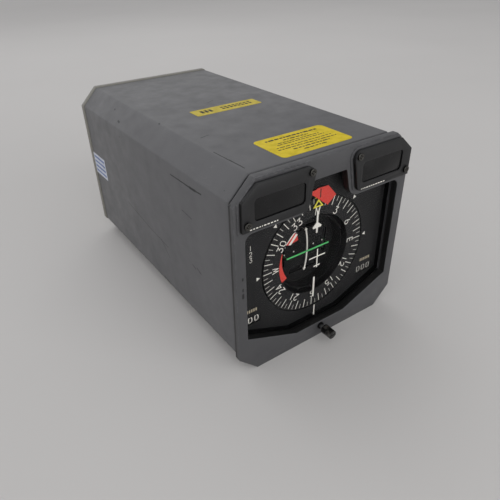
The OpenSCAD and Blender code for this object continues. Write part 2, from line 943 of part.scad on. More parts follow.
module heading_bug() {
    color("#cfc23a") place() translate([0, 0, dial_z]) {
        slab(bug_gear_y, bug_gear_y + gear_t) difference() {
            gear_outline(bug_teeth, bug_module);
            circle(bug_in);
        }
        slab(bug_gear_y + gear_t, front_back_y) ring(bug_journal_r, bug_in);
        slab(bug_y, bug_gear_y) intersection() {
            ring(bug_tab_r + bug_tab_t / 2, bug_tab_r - bug_tab_t / 2);
            translate([-bug_tab_w / 2, 0]) square([bug_tab_w, mask_r]);
        }
        slab(bug_y, bug_y + marker_t) {
            polygon([[-bug_half, bug_base_r], [bug_half, bug_base_r], [0, bug_apex_r]]);
            translate([-bug_stem_w / 2, bug_stem_r])
                square([bug_stem_w, bug_tab_r - bug_stem_r]);
        }
        slab(bug_gear_y, bug_gear_y + gear_t) intersection() {
            ring(bug_in + 0.1, bug_tab_r - bug_tab_t / 2);
            translate([-bug_tab_w / 2, 0]) square([bug_tab_w, mask_r]);
        }
    }
}

module bug_bearing() {
    color("#a9abad") place() translate([0, 0, dial_z])
        slab(front_frame_y, front_back_y) ring(bug_bearing_r, bug_journal_r + run);
}

module bug_pinion() {
    color("#b08d4a") place()
        pinion(bug_motor_turn, bug_ring_r, bug_module, bug_gear_y, gear_t, motor_y);
}

module motor(y0) {
    difference() {
        union() {
            slab(y0, y0 + motor_len) circle(motor_r);
            slab(y0 + motor_len, y0 + motor_len + motor_cap_t) circle(motor_r - motor_cap_in);
        }
        slab(y0 - 1, y0 + motor_shaft_in + 1) circle(motor_shaft_r + run);
    }
}

module motor_boss(y0, y1) {
    slab(y0, y1) ring(motor_boss_r, motor_shaft_r + run);
}

module servo_motors() {
    card_at = polar(card_ring_r + card_pinion_r, card_motor_turn);
    bug_at = polar(bug_ring_r + bug_pinion_r, bug_motor_turn);
    course_at = polar(course_ring_r + course_pinion_r, course_motor_turn);
    color("#7d8084") place() translate([0, 0, dial_z]) {
        for (at = [card_at, bug_at]) translate([at[0], 0, at[1]]) {
            motor(motor_y);
            motor_boss(mid_back_y, motor_y);
        }
        translate([course_at[0], 0, course_at[1]]) motor(gear_back_y);
    }
}

module course_carriage() {
    color("#242424") place() translate([0, 0, dial_z]) {
        slab(cup_y, floor_y + floor_t) ring(carriage_r, carriage_r - cup_wall);
        slab(floor_y, floor_y + floor_t) difference() {
            circle(carriage_r - cup_wall);
            for (z = [-deviation_half, deviation_half]) translate([0, z])
                square(deviation_slot, center = true);
            for (x = [-glideslope_half, glideslope_half]) translate([x, 0])
                square(glideslope_slot, center = true);
            translate(polar(nav_motor_at, nav_motor_turn)) circle(nav_shaft_hole);
        }
        slab(floor_y, floor_y + floor_t) difference() {
            union() {
                translate(polar(arc_pivot_r, arc_turn)) circle(arc_motor_r + 0.4);
                rotate(90 - arc_turn) translate([0, -outrigger_half])
                    square([arc_pivot_r, 2 * outrigger_half]);
            }
            circle(carriage_r - cup_wall / 2);
        }
        slab(floor_y + floor_t, carriage_back_y)
            for (x = [-post_x, post_x]) for (z = [-post_z, post_z]) translate([x, z])
                circle(post_r);
        slab(carriage_back_y, carriage_back_y + carriage_plate_t) circle(carriage_plate_r);
        slab(course_gear_y, course_gear_y + gear_t) gear_outline(course_teeth, course_module);
        slab(course_gear_y + gear_t, rear_back_y + 1) circle(hub_r);
    }
}

// Swept-wing arrow head with its shaft and fork, and the tail bar
module course_arrow() {
    wing_in = 19.4;
    wing_half = 3;
    tip_half = 3.4;
    tip_out = 20.5;
    wing_root = 23.4;
    fork_w = 0.9;
    fork_r = 30.3;
    fork_in = 1.1;
    fork_out = 1.9;
    color("#e6e4da") place() translate([0, 0, dial_z]) {
        slab(arrow_y, arrow_y + marker_t) {
            translate([-arrow_w / 2, arrow_in]) square([arrow_w, fork_r - arrow_in]);
            polygon([[-wing_half, wing_in], [wing_half, wing_in], [tip_half, tip_out],
                [0, wing_root], [-tip_half, tip_out]]);
            for (side = [-1, 1]) polygon([[0, fork_r - fork_w], [side * fork_in, arrow_out],
                [side * fork_out, arrow_out], [side * arrow_w / 2, fork_r - fork_w]]);
            translate([-arrow_w / 2, -tail_out]) square([arrow_w, tail_out - tail_in]);
        }
        slab(arrow_y + marker_t, cup_y) for (side = [-1, 1])
            translate([0, side * (carriage_r - cup_wall / 2)])
                square([arrow_post, cup_wall], center = true);
    }
}

module course_bearings() {
    color("#a9abad") place() translate([0, 0, dial_z]) {
        slab(gear_frame_y, gear_back_y) ring(hub_bearing_r, hub_r + run);
        slab(rear_frame_y, rear_back_y) ring(hub_bearing_r, hub_r + run);
    }
}

module course_pinion() {
    color("#b08d4a") place()
        pinion(course_motor_turn, course_ring_r, course_module, course_gear_y, gear_t,
            gear_back_y);
}

// White bar, slightly bowed, on two long arms that swing from an arbor behind
module deviation_bar() {
    bow_r = (deviation_half * deviation_half + deviation_bow * deviation_bow)
        / (2 * deviation_bow);
    color("#e6e4da") place() translate([0, 0, dial_z]) {
        slab(deviation_y, deviation_y + bar_t) intersection() {
            translate([deviation_x - bow_r, 0]) ring(bow_r + bar_w / 2, bow_r - bar_w / 2);
            translate([-2 * deviation_bow, -deviation_half - bar_over])
                square([bow_r, 2 * deviation_half + 2 * bar_over]);
        }
        for (z = [-deviation_half, deviation_half - arm_t])
            translate([arm_x, deviation_y, z])
                cube([arm_w, deviation_pivot_y - deviation_y, arm_t]);
        translate([0, deviation_pivot_y, -deviation_half])
            cylinder(h = 2 * deviation_half, r = arbor_r);
    }
}

module deviation_meter() {
    color("#6f7377") place() translate([0, 0, dial_z]) difference() {
        union() {
            translate([0, deviation_pivot_y, -deviation_meter_half])
                cylinder(h = 2 * deviation_meter_half, r = meter_r);
            slab(deviation_pivot_y - bracket_t / 2, deviation_pivot_y + bracket_t / 2)
                square([2 * bracket_half, 2 * bracket_edge], center = true);
        }
        translate([0, deviation_pivot_y, -bracket_edge - 1])
            cylinder(h = 2 * bracket_edge + 2, r = arbor_r + run);
        slab(deviation_pivot_y - bracket_t, deviation_pivot_y + bracket_t)
            for (x = [-post_x, post_x]) for (z = [-post_z, post_z]) translate([x, z])
                circle(post_r);
    }
}

// Green bar across the well on two arms that swing from an arbor behind
module glideslope_bar() {
    color("#3caa5a") place() translate([0, 0, dial_z]) {
        slab(glideslope_y, glideslope_y + bar_t)
            square([2 * glideslope_half, bar_w], center = true);
        for (x = [-glideslope_half, glideslope_half - arm_t])
            translate([x, glideslope_y, -bar_w / 2])
                cube([arm_t, glideslope_pivot_y - glideslope_y, bar_w]);
        translate([-glideslope_half, glideslope_pivot_y, 0]) rotate([0, 90, 0])
            cylinder(h = 2 * glideslope_half, r = arbor_r);
    }
}

module glideslope_meter() {
    color("#6f7377") place() translate([0, 0, dial_z]) difference() {
        union() {
            translate([-glideslope_meter_half, glideslope_pivot_y, 0]) rotate([0, 90, 0])
                cylinder(h = 2 * glideslope_meter_half, r = meter_r);
            slab(glideslope_pivot_y - bracket_t / 2, glideslope_pivot_y + bracket_t / 2)
                for (side = [-1, 1])
                    translate([0, side * (bracket_edge + bracket_gap) / 2])
                        square([2 * bracket_half, bracket_edge - bracket_gap], center = true);
        }
        translate([-bracket_half, glideslope_pivot_y, 0]) rotate([0, 90, 0])
            cylinder(h = 2 * bracket_half, r = arbor_r + run);
        slab(glideslope_pivot_y - bracket_t, glideslope_pivot_y + bracket_t)
            for (x = [-post_x, post_x]) for (z = [-post_z, post_z]) translate([x, z])
                circle(post_r);
    }
}

// Moves to the striped flag's hinge pin, x along the pin and z away from the centre
module at_nav_pin() {
    translate([0, nav_pin_y, dial_z]) rotate([0, nav_turn, 0])
        translate([nav_shift, 0, nav_pin_r]) children();
}

module nav_flag() {
    color("#c8413c") place() at_nav_pin() {
        slab(-nav_t / 2, nav_t / 2)
            polygon([[-nav_w / 2, 0], [nav_w / 2, 0], nav_side, nav_tip, nav_tail]);
        translate([-nav_w / 2 - nav_pin_end, 0, 0]) rotate([0, 90, 0])
            cylinder(h = nav_w + 2 * nav_pin_end, r = nav_pin);
    }
}

module carriage_flag_movers() {
    ear_x = nav_w / 2 + nav_ear_gap;
    at = polar(nav_motor_at, nav_motor_turn);
    arc_at = polar(arc_pivot_r, arc_turn);
    color("#8b8d90") place() {
        at_nav_pin() for (side = [-1, 1]) difference() {
            translate([side > 0 ? ear_x : -ear_x - nav_ear, -1, -1])
                cube([nav_ear, floor_y - nav_pin_y + 1, 2]);
            translate([-nav_w, 0, 0]) rotate([0, 90, 0])
                cylinder(h = 2 * nav_w, r = nav_pin + run);
        }
        translate([at[0], 0, dial_z + at[1]])
            slab(floor_y + floor_t, floor_y + floor_t + nav_motor_len) circle(nav_motor_r);
        translate([arc_at[0], 0, dial_z + arc_at[1]])
            flag_mover(arc_motor_y, floor_y, arc_motor_r, arc_shaft_back + 0.5);
    }
}

// Red flag on a thin arm, pivoted behind the left pad
module heading_flag() {
    color("#c8413c") place() {
        slab(flag_y, flag_y + flag_t) {
            at_dial() polygon(flag_tip);
            polygon([[flag_pivot_x, flag_pivot_z - flag_arm_half],
                [flag_arm_ends[0][0], dial_z + flag_arm_ends[0][1]],
                [flag_arm_ends[1][0], dial_z + flag_arm_ends[1][1]],
                [flag_pivot_x, flag_pivot_z + flag_arm_half]]);
            translate([flag_pivot_x, flag_pivot_z]) circle(flag_hub_r);
        }
        translate([flag_pivot_x, 0, flag_pivot_z])
            slab(flag_y, flag_shaft_back) circle(flag_shaft_r);
    }
}

// Red blade that swings out from behind the card into the well
module arc_flag() {
    pivot = polar(arc_pivot_r, arc_turn);
    color("#c8413c") place() translate([0, 0, dial_z]) {
        slab(arc_y, arc_y + flag_t) difference() {
            intersection() {
                circle(arc_band_out);
                polygon([[0, 0], polar(60, arc_end_turn), polar(80, -90), polar(60, arc_turn)]);
            }
            translate(arc_edge_at) circle(arc_edge_r);
        }
        slab(arc_y, arc_y + flag_t) translate(pivot) circle(flag_hub_r);
        translate([pivot[0], 0, pivot[1]]) slab(arc_y, arc_shaft_back) circle(flag_shaft_r);
    }
}

module flag_mover(y0, y1, r, hole_back) {
    difference() {
        slab(y0, y1) circle(r);
        slab(y0 - 1, hole_back) circle(flag_shaft_r + run);
    }
}

module heading_flag_mover() {
    color("#8b8d90") place() translate([flag_pivot_x, 0, flag_pivot_z])
        flag_mover(front_back_y, front_back_y + flag_motor_len, flag_motor_r,
            flag_shaft_back + flag_hole_end);
}

// One drum; place 1 is the right-hand one
module drum(x, place_number) {
    color("#1f1f1f") place() translate([x + (2 - place_number) * drum_pitch, drum_y, counter_z])
        rotate([0, 90, 0]) translate([0, 0, -drum_w / 2]) difference() {
            cylinder(h = drum_w, r = drum_r);
            translate([0, 0, -1]) cylinder(h = drum_w + 2, r = drum_bore);
        }
}

module course_units_drum() { drum(-left_counter_x, 1); }

module course_tens_drum() { drum(-left_counter_x, 2); }

module course_hundreds_drum() { drum(-left_counter_x, 3); }

module distance_units_drum() { drum(right_counter_x, 1); }

module distance_tens_drum() { drum(right_counter_x, 2); }

module distance_hundreds_drum() { drum(right_counter_x, 3); }

module counter_shafts() {
    half = counter_half + counter_side_gap + counter_side;
    color("#a9abad") place() for (x = [-left_counter_x, right_counter_x])
        translate([x - half, drum_y, counter_z]) rotate([0, 90, 0])
            cylinder(h = 2 * half, r = counter_shaft_r);
}

module counter_frame(x) {
    half = counter_half + counter_side_gap + counter_side;
    back_y1 = counter_back_y + counter_back_t;
    difference() {
        translate([x, 0, counter_z]) {
            translate([-half, counter_back_y, -counter_back_drop])
                cube([2 * half, counter_back_t, counter_back_drop + counter_back_rise]);
            translate([-half, mid_back_y, counter_back_rise - counter_foot])
                cube([2 * half, back_y1 - mid_back_y, counter_foot]);
            translate([-half, mid_back_y, -counter_back_drop])
                cube([2 * half, back_y1 - mid_back_y, counter_foot]);
            for (side = [-half, half - counter_side])
                translate([side, counter_side_y, -counter_side_half_z])
                    cube([counter_side, back_y1 - counter_side_y, 2 * counter_side_half_z]);
        }
        translate([x - half - 1, drum_y, counter_z]) rotate([0, 90, 0])
            cylinder(h = 2 * half + 2, r = counter_shaft_r);
    }
}

module counter_frames() {
    color("#8b8d90") place() {
        counter_frame(-left_counter_x);
        counter_frame(right_counter_x);
    }
}

module front_frame() {
    color("#9b9d9f") place() slab(front_frame_y, front_back_y) difference() {
        case_outline(frame_in);
        at_dial() circle(bug_bearing_r);
        counter_notches();
        pot_notch();
        boss_places() circle(boss_screw_r);
        at_dial() bug_motor_at() circle(motor_shaft_r + shaft_room);
        translate([flag_pivot_x, flag_pivot_z]) circle(flag_shaft_r + 0.4);
    }
}

module mid_frame() {
    color("#9b9d9f") place() {
        slab(mid_frame_y, mid_back_y) difference() {
            case_outline(frame_in);
            at_dial() circle(card_bearing_r);
            counter_notches();
            at_dial() card_motor_at() circle(motor_shaft_r + shaft_room);
            at_dial() bug_motor_at() circle(motor_shaft_r + shaft_room);
            translate([flag_pivot_x, flag_pivot_z]) circle(flag_motor_r + 0.5);
        }
        translate([0, 0, dial_z]) {
            slab(mid_back_y, ring_y) ring(card_bearing_r + ring_wall, card_bearing_r);
            slab(ring_y, ring_y + ring_t) ring(card_bearing_r + ring_wall, carriage_r + ring_wall);
        }
    }
}

module gear_frame() {
    color("#9b9d9f") place() slab(gear_frame_y, gear_back_y) difference() {
        case_outline(frame_in);
        at_dial() circle(hub_bearing_r);
        at_dial() course_motor_at() circle(motor_shaft_r + shaft_room);
    }
}

module rear_frame() {
    color("#9b9d9f") place() slab(rear_frame_y, rear_back_y) difference() {
        case_outline(frame_in);
        at_dial() circle(hub_bearing_r);
        at_dial() course_motor_at() circle(motor_r + 0.3);
    }
}

module frame_pillars() {
    color("#b4b6b8") place() {
        slab(front_back_y, mid_frame_y) pillar_places() circle(pillar_r);
        slab(mid_back_y, gear_frame_y) pillar_places() circle(pillar_r);
        slab(gear_back_y, rear_frame_y) pillar_places() circle(pillar_r);
        difference() {
            slab(rear_back_y, rear_plate_y) pillar_places() circle(pillar_r);
            slab(rear_plate_y - rear_screw_in - 1, rear_plate_y + 1) pillar_places()
                circle(rear_screw_shank);
        }
    }
}

module circuit_boards() {
    corner = 9;
    block = [10, 26];
    block_t = 9;
    block_z = 34;
    block_rise = 8;
    can_r = 7;
    can_t = 14;
    can_z = 92;
    can_step = 24;
    color("#2f5d3a") place() for (i = [0:board_count - 1]) {
        y0 = board_y + i * board_step;
        y1 = y0 + board_t;
        slab(y0, y1) difference() {
            translate([-board_half, board_z0]) square([2 * board_half, board_z1 - board_z0]);
            pillar_places() circle(pillar_r + run);
            for (x = [-1, 1]) for (z = [board_z0, board_z1]) translate([x * board_half, z])
                rotate(45) square(corner, center = true);
        }
        slab(y1, y1 + block_t) for (x = [-3:2:3])
            translate([(x - 0.5) * block[0], block_z + block_rise * i]) square(block);
        slab(y1, y1 + can_t) for (x = [-1:1]) translate([x * can_step, can_z])
            circle(can_r);
    }
}

module slip_rings() {
    color("#c9a84c") place() translate([0, 0, dial_z]) for (i = [0:slip_count - 1]) {
        y0 = slip_y + i * slip_step;
        slab(y0, y0 + slip_w) ring(slip_r, hub_r);
    }
}

module brush_block() {
    reach = 4;
    base_x = slip_r + reach;
    base_t = 3;
    base_h = 16;
    wire = 0.8;
    color("#6a4b35") place() translate([0, 0, dial_z]) {
        translate([-base_x - base_t, gear_back_y, -base_h / 2])
            cube([base_t, rear_frame_y - gear_back_y, base_h]);
        for (i = [0:slip_count - 1])
            translate([-base_x, slip_y + i * slip_step, -wire / 2])
                cube([base_x - slip_r - brush_gap, slip_w, wire]);
    }
}

bezel();
front_glass();
glass_gasket();
glass_retainer();
left_window_cover();
right_window_cover();
display_windows();
display_modules();
window_screws();
case_shell();
rear_plate();
rear_screws();
bezel_screws();
rear_connectors();
connector_inserts();
connector_pins();
ground_stud();
front_label();
rear_label();
side_label();
dimmer_knob();
knob_shaft();
dimmer_pot();
dial_mask();
compass_card();
card_bearing();
card_pinion();
heading_bug();
bug_bearing();
bug_pinion();
servo_motors();
course_carriage();
course_arrow();
course_bearings();
course_pinion();
deviation_bar();
deviation_meter();
glideslope_bar();
glideslope_meter();
nav_flag();
carriage_flag_movers();
heading_flag();
arc_flag();
heading_flag_mover();
course_units_drum();
course_tens_drum();
course_hundreds_drum();
distance_units_drum();
distance_tens_drum();
distance_hundreds_drum();
counter_shafts();
counter_frames();
front_frame();
mid_frame();
gear_frame();
rear_frame();
frame_pillars();
circuit_boards();
slip_rings();
brush_block();
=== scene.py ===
"""Dresses a panel compass indicator: finishes, printed marks, rounded edges and a small studio."""

import math

import bmesh
import bpy
from bpy.props import FloatProperty, FloatVectorProperty, PointerProperty
from mathutils import Matrix, Vector


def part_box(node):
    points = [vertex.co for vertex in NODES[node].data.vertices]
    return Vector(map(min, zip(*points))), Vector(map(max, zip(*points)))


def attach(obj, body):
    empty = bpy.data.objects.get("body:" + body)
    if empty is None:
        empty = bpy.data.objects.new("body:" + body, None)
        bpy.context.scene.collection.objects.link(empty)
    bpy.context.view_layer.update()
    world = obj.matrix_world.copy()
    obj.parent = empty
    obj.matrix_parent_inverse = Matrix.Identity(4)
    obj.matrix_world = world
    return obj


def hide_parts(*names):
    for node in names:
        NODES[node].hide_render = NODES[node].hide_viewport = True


bl_info = {
    "name": "Compass Indicator",
    "version": (1, 0, 0),
    "blender": (4, 5, 0),
    "location": "View3D > Sidebar > Indicator",
    "description": "Builds the finishes, printing and studio of a panel compass indicator",
    "category": "Object",
}

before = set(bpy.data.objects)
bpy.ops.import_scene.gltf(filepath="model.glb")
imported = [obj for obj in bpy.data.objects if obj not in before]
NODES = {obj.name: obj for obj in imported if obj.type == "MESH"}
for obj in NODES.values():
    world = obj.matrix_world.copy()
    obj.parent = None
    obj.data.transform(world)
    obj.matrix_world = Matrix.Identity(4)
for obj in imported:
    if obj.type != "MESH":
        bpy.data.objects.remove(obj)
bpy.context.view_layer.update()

# One millimetre in metres
MM = 0.001

# Places read from the frame, in metres
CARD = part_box("compass_card")
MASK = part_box("dial_mask")
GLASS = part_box("front_glass")
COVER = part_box("right_window_cover")
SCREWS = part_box("window_screws")
CENTRE = Vector((0, 0, (CARD[0].z + CARD[1].z) / 2))

# The bezel's face, which stands this far before the glass
GLASS_DEPTH = 4.6 * MM
FACE_Y = GLASS[0].y - GLASS_DEPTH

# Depths behind the bezel's face in millimetres: the dots, the striped flag's face, and the
# depths past which the heading marker and the arrow, and each of the two bars, are black
DOTS_DEPTH = 19.8
STRIPE_DEPTH = 16.2
POINTER_DEPTH = 9.05
DEVIATION_DEPTH = 18.05
GLIDESLOPE_DEPTH = 15.75

# Thickness of all printing, thin enough to read as ink
INK = 0.04 * MM

# Screws and connectors are rounded this much more than other small pieces, and what lies
# deeper than this in the window screws' heads, in millimetres, is painted dark as the shade
# in their recesses
SCREW_ROUNDING = 1.4
SHADED_RECESS_DEPTH = 0.3

# Rounding of the thin flags and bars in millimetres
THIN_EDGE = 0.05

# Angles in degrees: faces that turn less are one flat face, edges that turn more are rounded,
# and edges that still turn more after that are shown sharp
FLAT_ANGLE = 0.6
ROUNDED_ANGLE = 28
KNOB_ANGLE = 40
SHARP_ANGLE = 32

BACKWARD = Vector((0, 1, 0))

# Settings of a Mix node that mixes colours
COLOURED = {"out": 2, "data_type": "RGBA"}


def linear(hex_colour):
    """An sRGB hex value as linear red, green and blue."""
    parts = [int(hex_colour[i:i + 2], 16) / 255 for i in (1, 3, 5)]
    return [c / 12.92 if c <= 0.04045 else ((c + 0.055) / 1.055) ** 2.4 for c in parts]


def colour(name, description, value):
    """A colour that the user can change."""
    return FloatVectorProperty(
        name=name, description=description, subtype="COLOR", size=3, min=0, max=1,
        default=linear(value),
    )


def length(name, description, millimetres):
    """A length that the user can change."""
    return FloatProperty(
        name=name, description=description, subtype="DISTANCE", unit="LENGTH", min=0,
        default=millimetres * MM,
    )


class FinishColours(bpy.types.PropertyGroup):
    """Colours of the paints, films and mouldings."""

    case: colour("Case", "Enamel of the case", "#5b5b5d")
    # The bezel's enamel is darker than the case's, partly its own tone and partly painted shade on
    # its front faces
    bezel: colour("Bezel", "Enamel of the bezel", "#454547")
    cover: colour("Window covers", "Enamel of the two window covers", "#1d1d1e")
    rear: colour("Rear plate", "Enamel of the rear plate", "#7b7972")
    dial: colour("Dial", "Matt paint of the mask and the card", "#181819")
    well: colour("Well", "Matt paint of the turning well", "#0d0d0e")
    white: colour("White", "White of the card's printing and the pointers", "#eeebe2")
    worn_white: colour(
        "Worn white", "White of the card's short ticks and the distance digits", "#c0bdb6"
    )
    yellow: colour("Yellow", "Yellow of the heading marker", "#e6dc4c")
    red: colour("Red", "Red of the flags", "#dc4238")
    green: colour("Green", "Green of the glideslope bar", "#5ccb76")
    legend: colour("Legend", "Faded tan of the small legends", "#b0a58e")
    label: colour("Front label", "Yellow film of the front label", "#dac114")
    label_old: colour("Rear label", "Older yellow film of the rear label", "#c9b649")
    label_white: colour("Side label", "White film of the side label", "#c6cad3")
    label_blue: colour("Side label print", "Blue print of the side label", "#6678a6")
    ink: colour("Ink", "Black ink of the labels", "#2a2612")
    floor: colour("Floor", "Colour of the studio floor", "#cdcbc9")


class EdgeSizes(bpy.types.PropertyGroup):
    """How far sharp edges are rounded."""

    case: length("Case edges", "Rounding of the folded case", 0.7)
    bezel: length("Bezel edges", "Rounding of the machined bezel", 0.1)
    cover: length("Cover edges", "Rounding of the window covers", 0.3)
    small: length("Small edges", "Rounding of small metal pieces", 0.15)
    knob: length("Knob edges", "Rounding of the knob's ribs", 0.03)


class DialSizes(bpy.types.PropertyGroup):
    """Sizes of the printing on the card and the mask."""

    tick_outer: length("Tick outer radius", "Outer end of the card's ticks", 38.8)
    tick_long: length("Long tick", "Length of each ten degree tick", 6.1)
    tick_short: length("Short tick", "Length of each five degree tick", 3.3)
    tick_width: length("Tick width", "Width of the long ticks", 0.44)
    tick_fine: length("Short tick width", "Width of the short ticks", 0.36)
    number_radius: length("Number radius", "Radius of the numbers' middles", 30.0)
    number_height: length("Number height", "Height of the card's numbers", 4.5)
    index_radius: length("Index radius", "Radius of the fixed triangles", 42.4)
    digit_height: length("Digit height", "Height of the counters' digits", 4.1)
    stroke: length("Stroke", "Width of a number's lines", 0.5)


class StudioSettings(bpy.types.PropertyGroup):
    """Light and camera of the studio."""

    key: FloatProperty(
        name="Key light", description="Power of the large lamp overhead", min=0, unit="POWER",
        default=3.4,
    )
    front: FloatProperty(
        name="Front light", description="Power of the large lamp before the dial", min=0,
        unit="POWER", default=9.0,
    )
    bright: FloatProperty(
        name="Bright sky", description="Strength of the sky low on the left", min=0,
        default=1.08,
    )
    dim: FloatProperty(
        name="Dim sky", description="Strength of the sky high on the right", min=0,
        default=0.32,
    )
    lens: FloatProperty(
        name="Lens", description="Focal length of the camera in millimetres", min=1,
        default=34.508,
    )


def add(tree, kind, inputs=(), out=0, **settings):
    """Adds a shader node with its settings and inputs, and gives one of its outputs."""
    made = tree.nodes.new("ShaderNode" + kind)
    for key, value in settings.items():
        setattr(made, key, value)
    for socket, value in dict(inputs).items():
        if isinstance(value, bpy.types.NodeSocket):
            tree.links.new(value, made.inputs[socket])
        else:
            made.inputs[socket].default_value = value
    return made.outputs[out] if made.outputs else None


def begin(name, surface_inputs=()):
    """Starts a material: its tree, its surface shader and the place on the object."""
    material = bpy.data.materials.new(name)
    material.use_nodes = True
    tree = material.node_tree
    tree.nodes.clear()
    surface = add(tree, "BsdfPrincipled", surface_inputs)
    add(tree, "OutputMaterial", {"Surface": surface})
    return material, tree, surface.node, add(tree, "TexCoord", out="Object")


def sized(place, millimetres, detail=0):
    """Inputs of a pattern whose forms have this size."""
    return {"Vector": place, "Scale": 1 / (millimetres * MM), "Detail": detail}


def shade(rgb, factor):
    """A colour made darker or lighter, ready for a colour socket."""
    return [min(1.0, c * factor) for c in rgb] + [1.0]


def dress(tree, shader, tone, gloss, bump):
    """Links a finish's colour, roughness and relief to its surface."""
    tree.links.new(tone, shader.inputs["Base Color"])
    tree.links.new(gloss, shader.inputs["Roughness"])
    tree.links.new(bump, shader.inputs["Normal"])


def marks_on(tree, place, marks):
    """Mask of lines, each from one point to another with its own half width: rubbed lines and
    chips, and on the bezel a painted shadow in the gap behind its flange.

    The lines waver a little, as those made by hand do, and have soft edges.
    """
    waver = add(tree, "TexNoise", sized(place, 3, 2), out="Color")
    shifted = add(tree, "VectorMath", {0: waver, 1: (0.5, 0.5, 0.5)}, operation="SUBTRACT")
    drift = add(tree, "VectorMath", {0: shifted, "Scale": 0.6 * MM}, operation="SCALE")
    moved = add(tree, "VectorMath", {0: place, 1: drift}, operation="ADD")
    total = None
    for start, stop, width in marks:
        start = Vector(start) * MM
        along = Vector(stop) * MM - start
        reach = add(tree, "VectorMath", {0: moved, 1: start}, operation="SUBTRACT")
        share = add(
            tree, "VectorMath", {0: reach, 1: along / along.length_squared}, out="Value",
            operation="DOT_PRODUCT",
        )
        held = add(tree, "Clamp", {0: share})
        foot = add(tree, "VectorMath", {0: along, "Scale": held}, operation="SCALE")
        gap = add(tree, "VectorMath", {0: reach, 1: foot}, out="Value", operation="DISTANCE")
        line = add(tree, "MapRange", {0: gap, 1: width * MM, 2: width * 0.45 * MM})
        total = line if total is None else add(
            tree, "Math", {0: total, 1: line}, operation="MAXIMUM"
        )
    return total


def within_box(tree, place, low, high):
    """Mask of a box given by its corners in millimetres."""
    low, high = Vector(low) * MM, Vector(high) * MM
    apart = add(tree, "VectorMath", {0: place, 1: (low + high) / 2}, operation="SUBTRACT")
    apart = add(tree, "VectorMath", {0: apart}, operation="ABSOLUTE")
    apart = add(tree, "VectorMath", {0: apart, 1: (high - low) / 2}, operation="DIVIDE")
    share = add(tree, "SeparateXYZ", {"Vector": apart}).node.outputs
    wide = add(tree, "Math", {0: share["X"], 1: share["Y"]}, operation="MAXIMUM")
    wide = add(tree, "Math", {0: wide, 1: share["Z"]}, operation="MAXIMUM")
    return add(tree, "Math", {0: wide, 1: 1.0}, operation="LESS_THAN")


def satin_enamel(name, rgb, marks=(), wear=0.5, rub=1.35, specular=0.5, darkened_box=None):
    """Satin enamel sprayed on sheet aluminium, handled for years.

    To the eye: faint clouds in the tone, soft hand smears, hair scratches and rubbed edges.
    Wear says how much of an edge is rubbed and rub how pale it is there. The darkened box gives
    the corners of a box and the dark tone painted inside it; on the covers' side walls this tone
    is painted shade.
    """
    material, tree, shader, place = begin(name, {"Specular IOR Level": specular})
    # Clouds in the tone and the smears of hands
    cloud = add(tree, "TexNoise", sized(place, 45, 3))
    smear = add(tree, "TexNoise", sized(place, 11, 5))
    tone = add(tree, "Mix", {0: cloud, 6: shade(rgb, 0.88), 7: shade(rgb, 1.1)}, **COLOURED)
    smeared = add(tree, "MapRange", {0: smear, 1: 0.55, 2: 0.75, 4: 0.16})
    tone = add(tree, "Mix", {0: smeared, 6: tone, 7: shade(rgb, 0.72)}, **COLOURED)
    # Hair scratches, long one way and only in worn patches
    stretch = add(
        tree, "Mapping", {"Vector": place, "Rotation": (0.5, 0.3, 0.2), "Scale": (1, 0.12, 1)}
    )
    hair = add(tree, "TexNoise", sized(stretch, 7, 1))
    below = add(tree, "Math", {0: hair, 1: 0.5}, operation="SUBTRACT")
    off_line = add(tree, "Math", {0: below}, operation="ABSOLUTE")
    near_line = add(tree, "MapRange", {0: off_line, 1: 0.004, 2: 0.001, 4: 0.35})
    patch = add(tree, "TexNoise", sized(place, 24, 1))
    worn = add(tree, "MapRange", {0: patch, 1: 0.56, 2: 0.62})
    scratched = add(tree, "Math", {0: near_line, 1: worn}, operation="MULTIPLY")
    tone = add(tree, "Mix", {0: scratched, 6: tone, 7: shade(rgb, 1.5)}, **COLOURED)
    # Rubbed edges, found where a rounded normal departs from the true one
    rounded = add(tree, "Bevel", {"Radius": 1.1 * MM}, samples=4)
    normal = add(tree, "NewGeometry", out="Normal")
    facing = add(
        tree, "VectorMath", {0: rounded, 1: normal}, out="Value", operation="DOT_PRODUCT"
    )
    edge = add(tree, "MapRange", {0: facing, 1: 0.995, 2: 0.93, 4: 0.6})
    grit = add(tree, "TexNoise", sized(place, 2.2, 4))
    bare = add(tree, "MapRange", {0: grit, 1: 0.62 - 0.2 * wear, 2: 0.66})
    rubbed = add(tree, "Math", {0: edge, 1: bare}, operation="MULTIPLY")
    tone = add(tree, "Mix", {0: rubbed, 6: tone, 7: shade(rgb, rub)}, **COLOURED)
    # A few small chips
    chip = add(tree, "TexVoronoi", sized(place, 26), out="Distance")
    chipped = add(tree, "MapRange", {0: chip, 1: 0.028, 2: 0.02})
    tone = add(tree, "Mix", {0: chipped, 6: tone, 7: shade(rgb, 0.3)}, **COLOURED)
    # Dark lines: scratches and chips, and on the bezel a painted shadow in the gap behind its
    # flange
    if marks:
        dark = marks_on(tree, place, marks)
        tone = add(tree, "Mix", {0: dark, 6: tone, 7: shade(rgb, 0.1)}, **COLOURED)
    # A dark tone inside a box; on the covers' side walls it is painted shade
    if darkened_box:
        low, high, dark_tone = darkened_box
        black = within_box(tree, place, low, high)
        tone = add(
            tree, "Mix", {0: black, 6: tone, 7: shade(linear(dark_tone), 1)}, **COLOURED
        )
    # Orange peel of the sprayed coat
    peel = add(tree, "TexNoise", sized(place, 0.8, 2))
    soft_edge = add(tree, "Bevel", {"Radius": 0.5 * MM}, samples=4)
    bump = add(tree, "Bump", {
        "Strength": 0.12, "Distance": 0.05 * MM, "Height": peel, "Normal": soft_edge,
    })
    gloss = add(tree, "MapRange", {0: smear, 1: 0.3, 2: 0.8, 3: 0.42, 4: 0.62})
    dress(tree, shader, tone, gloss, bump)
    return material


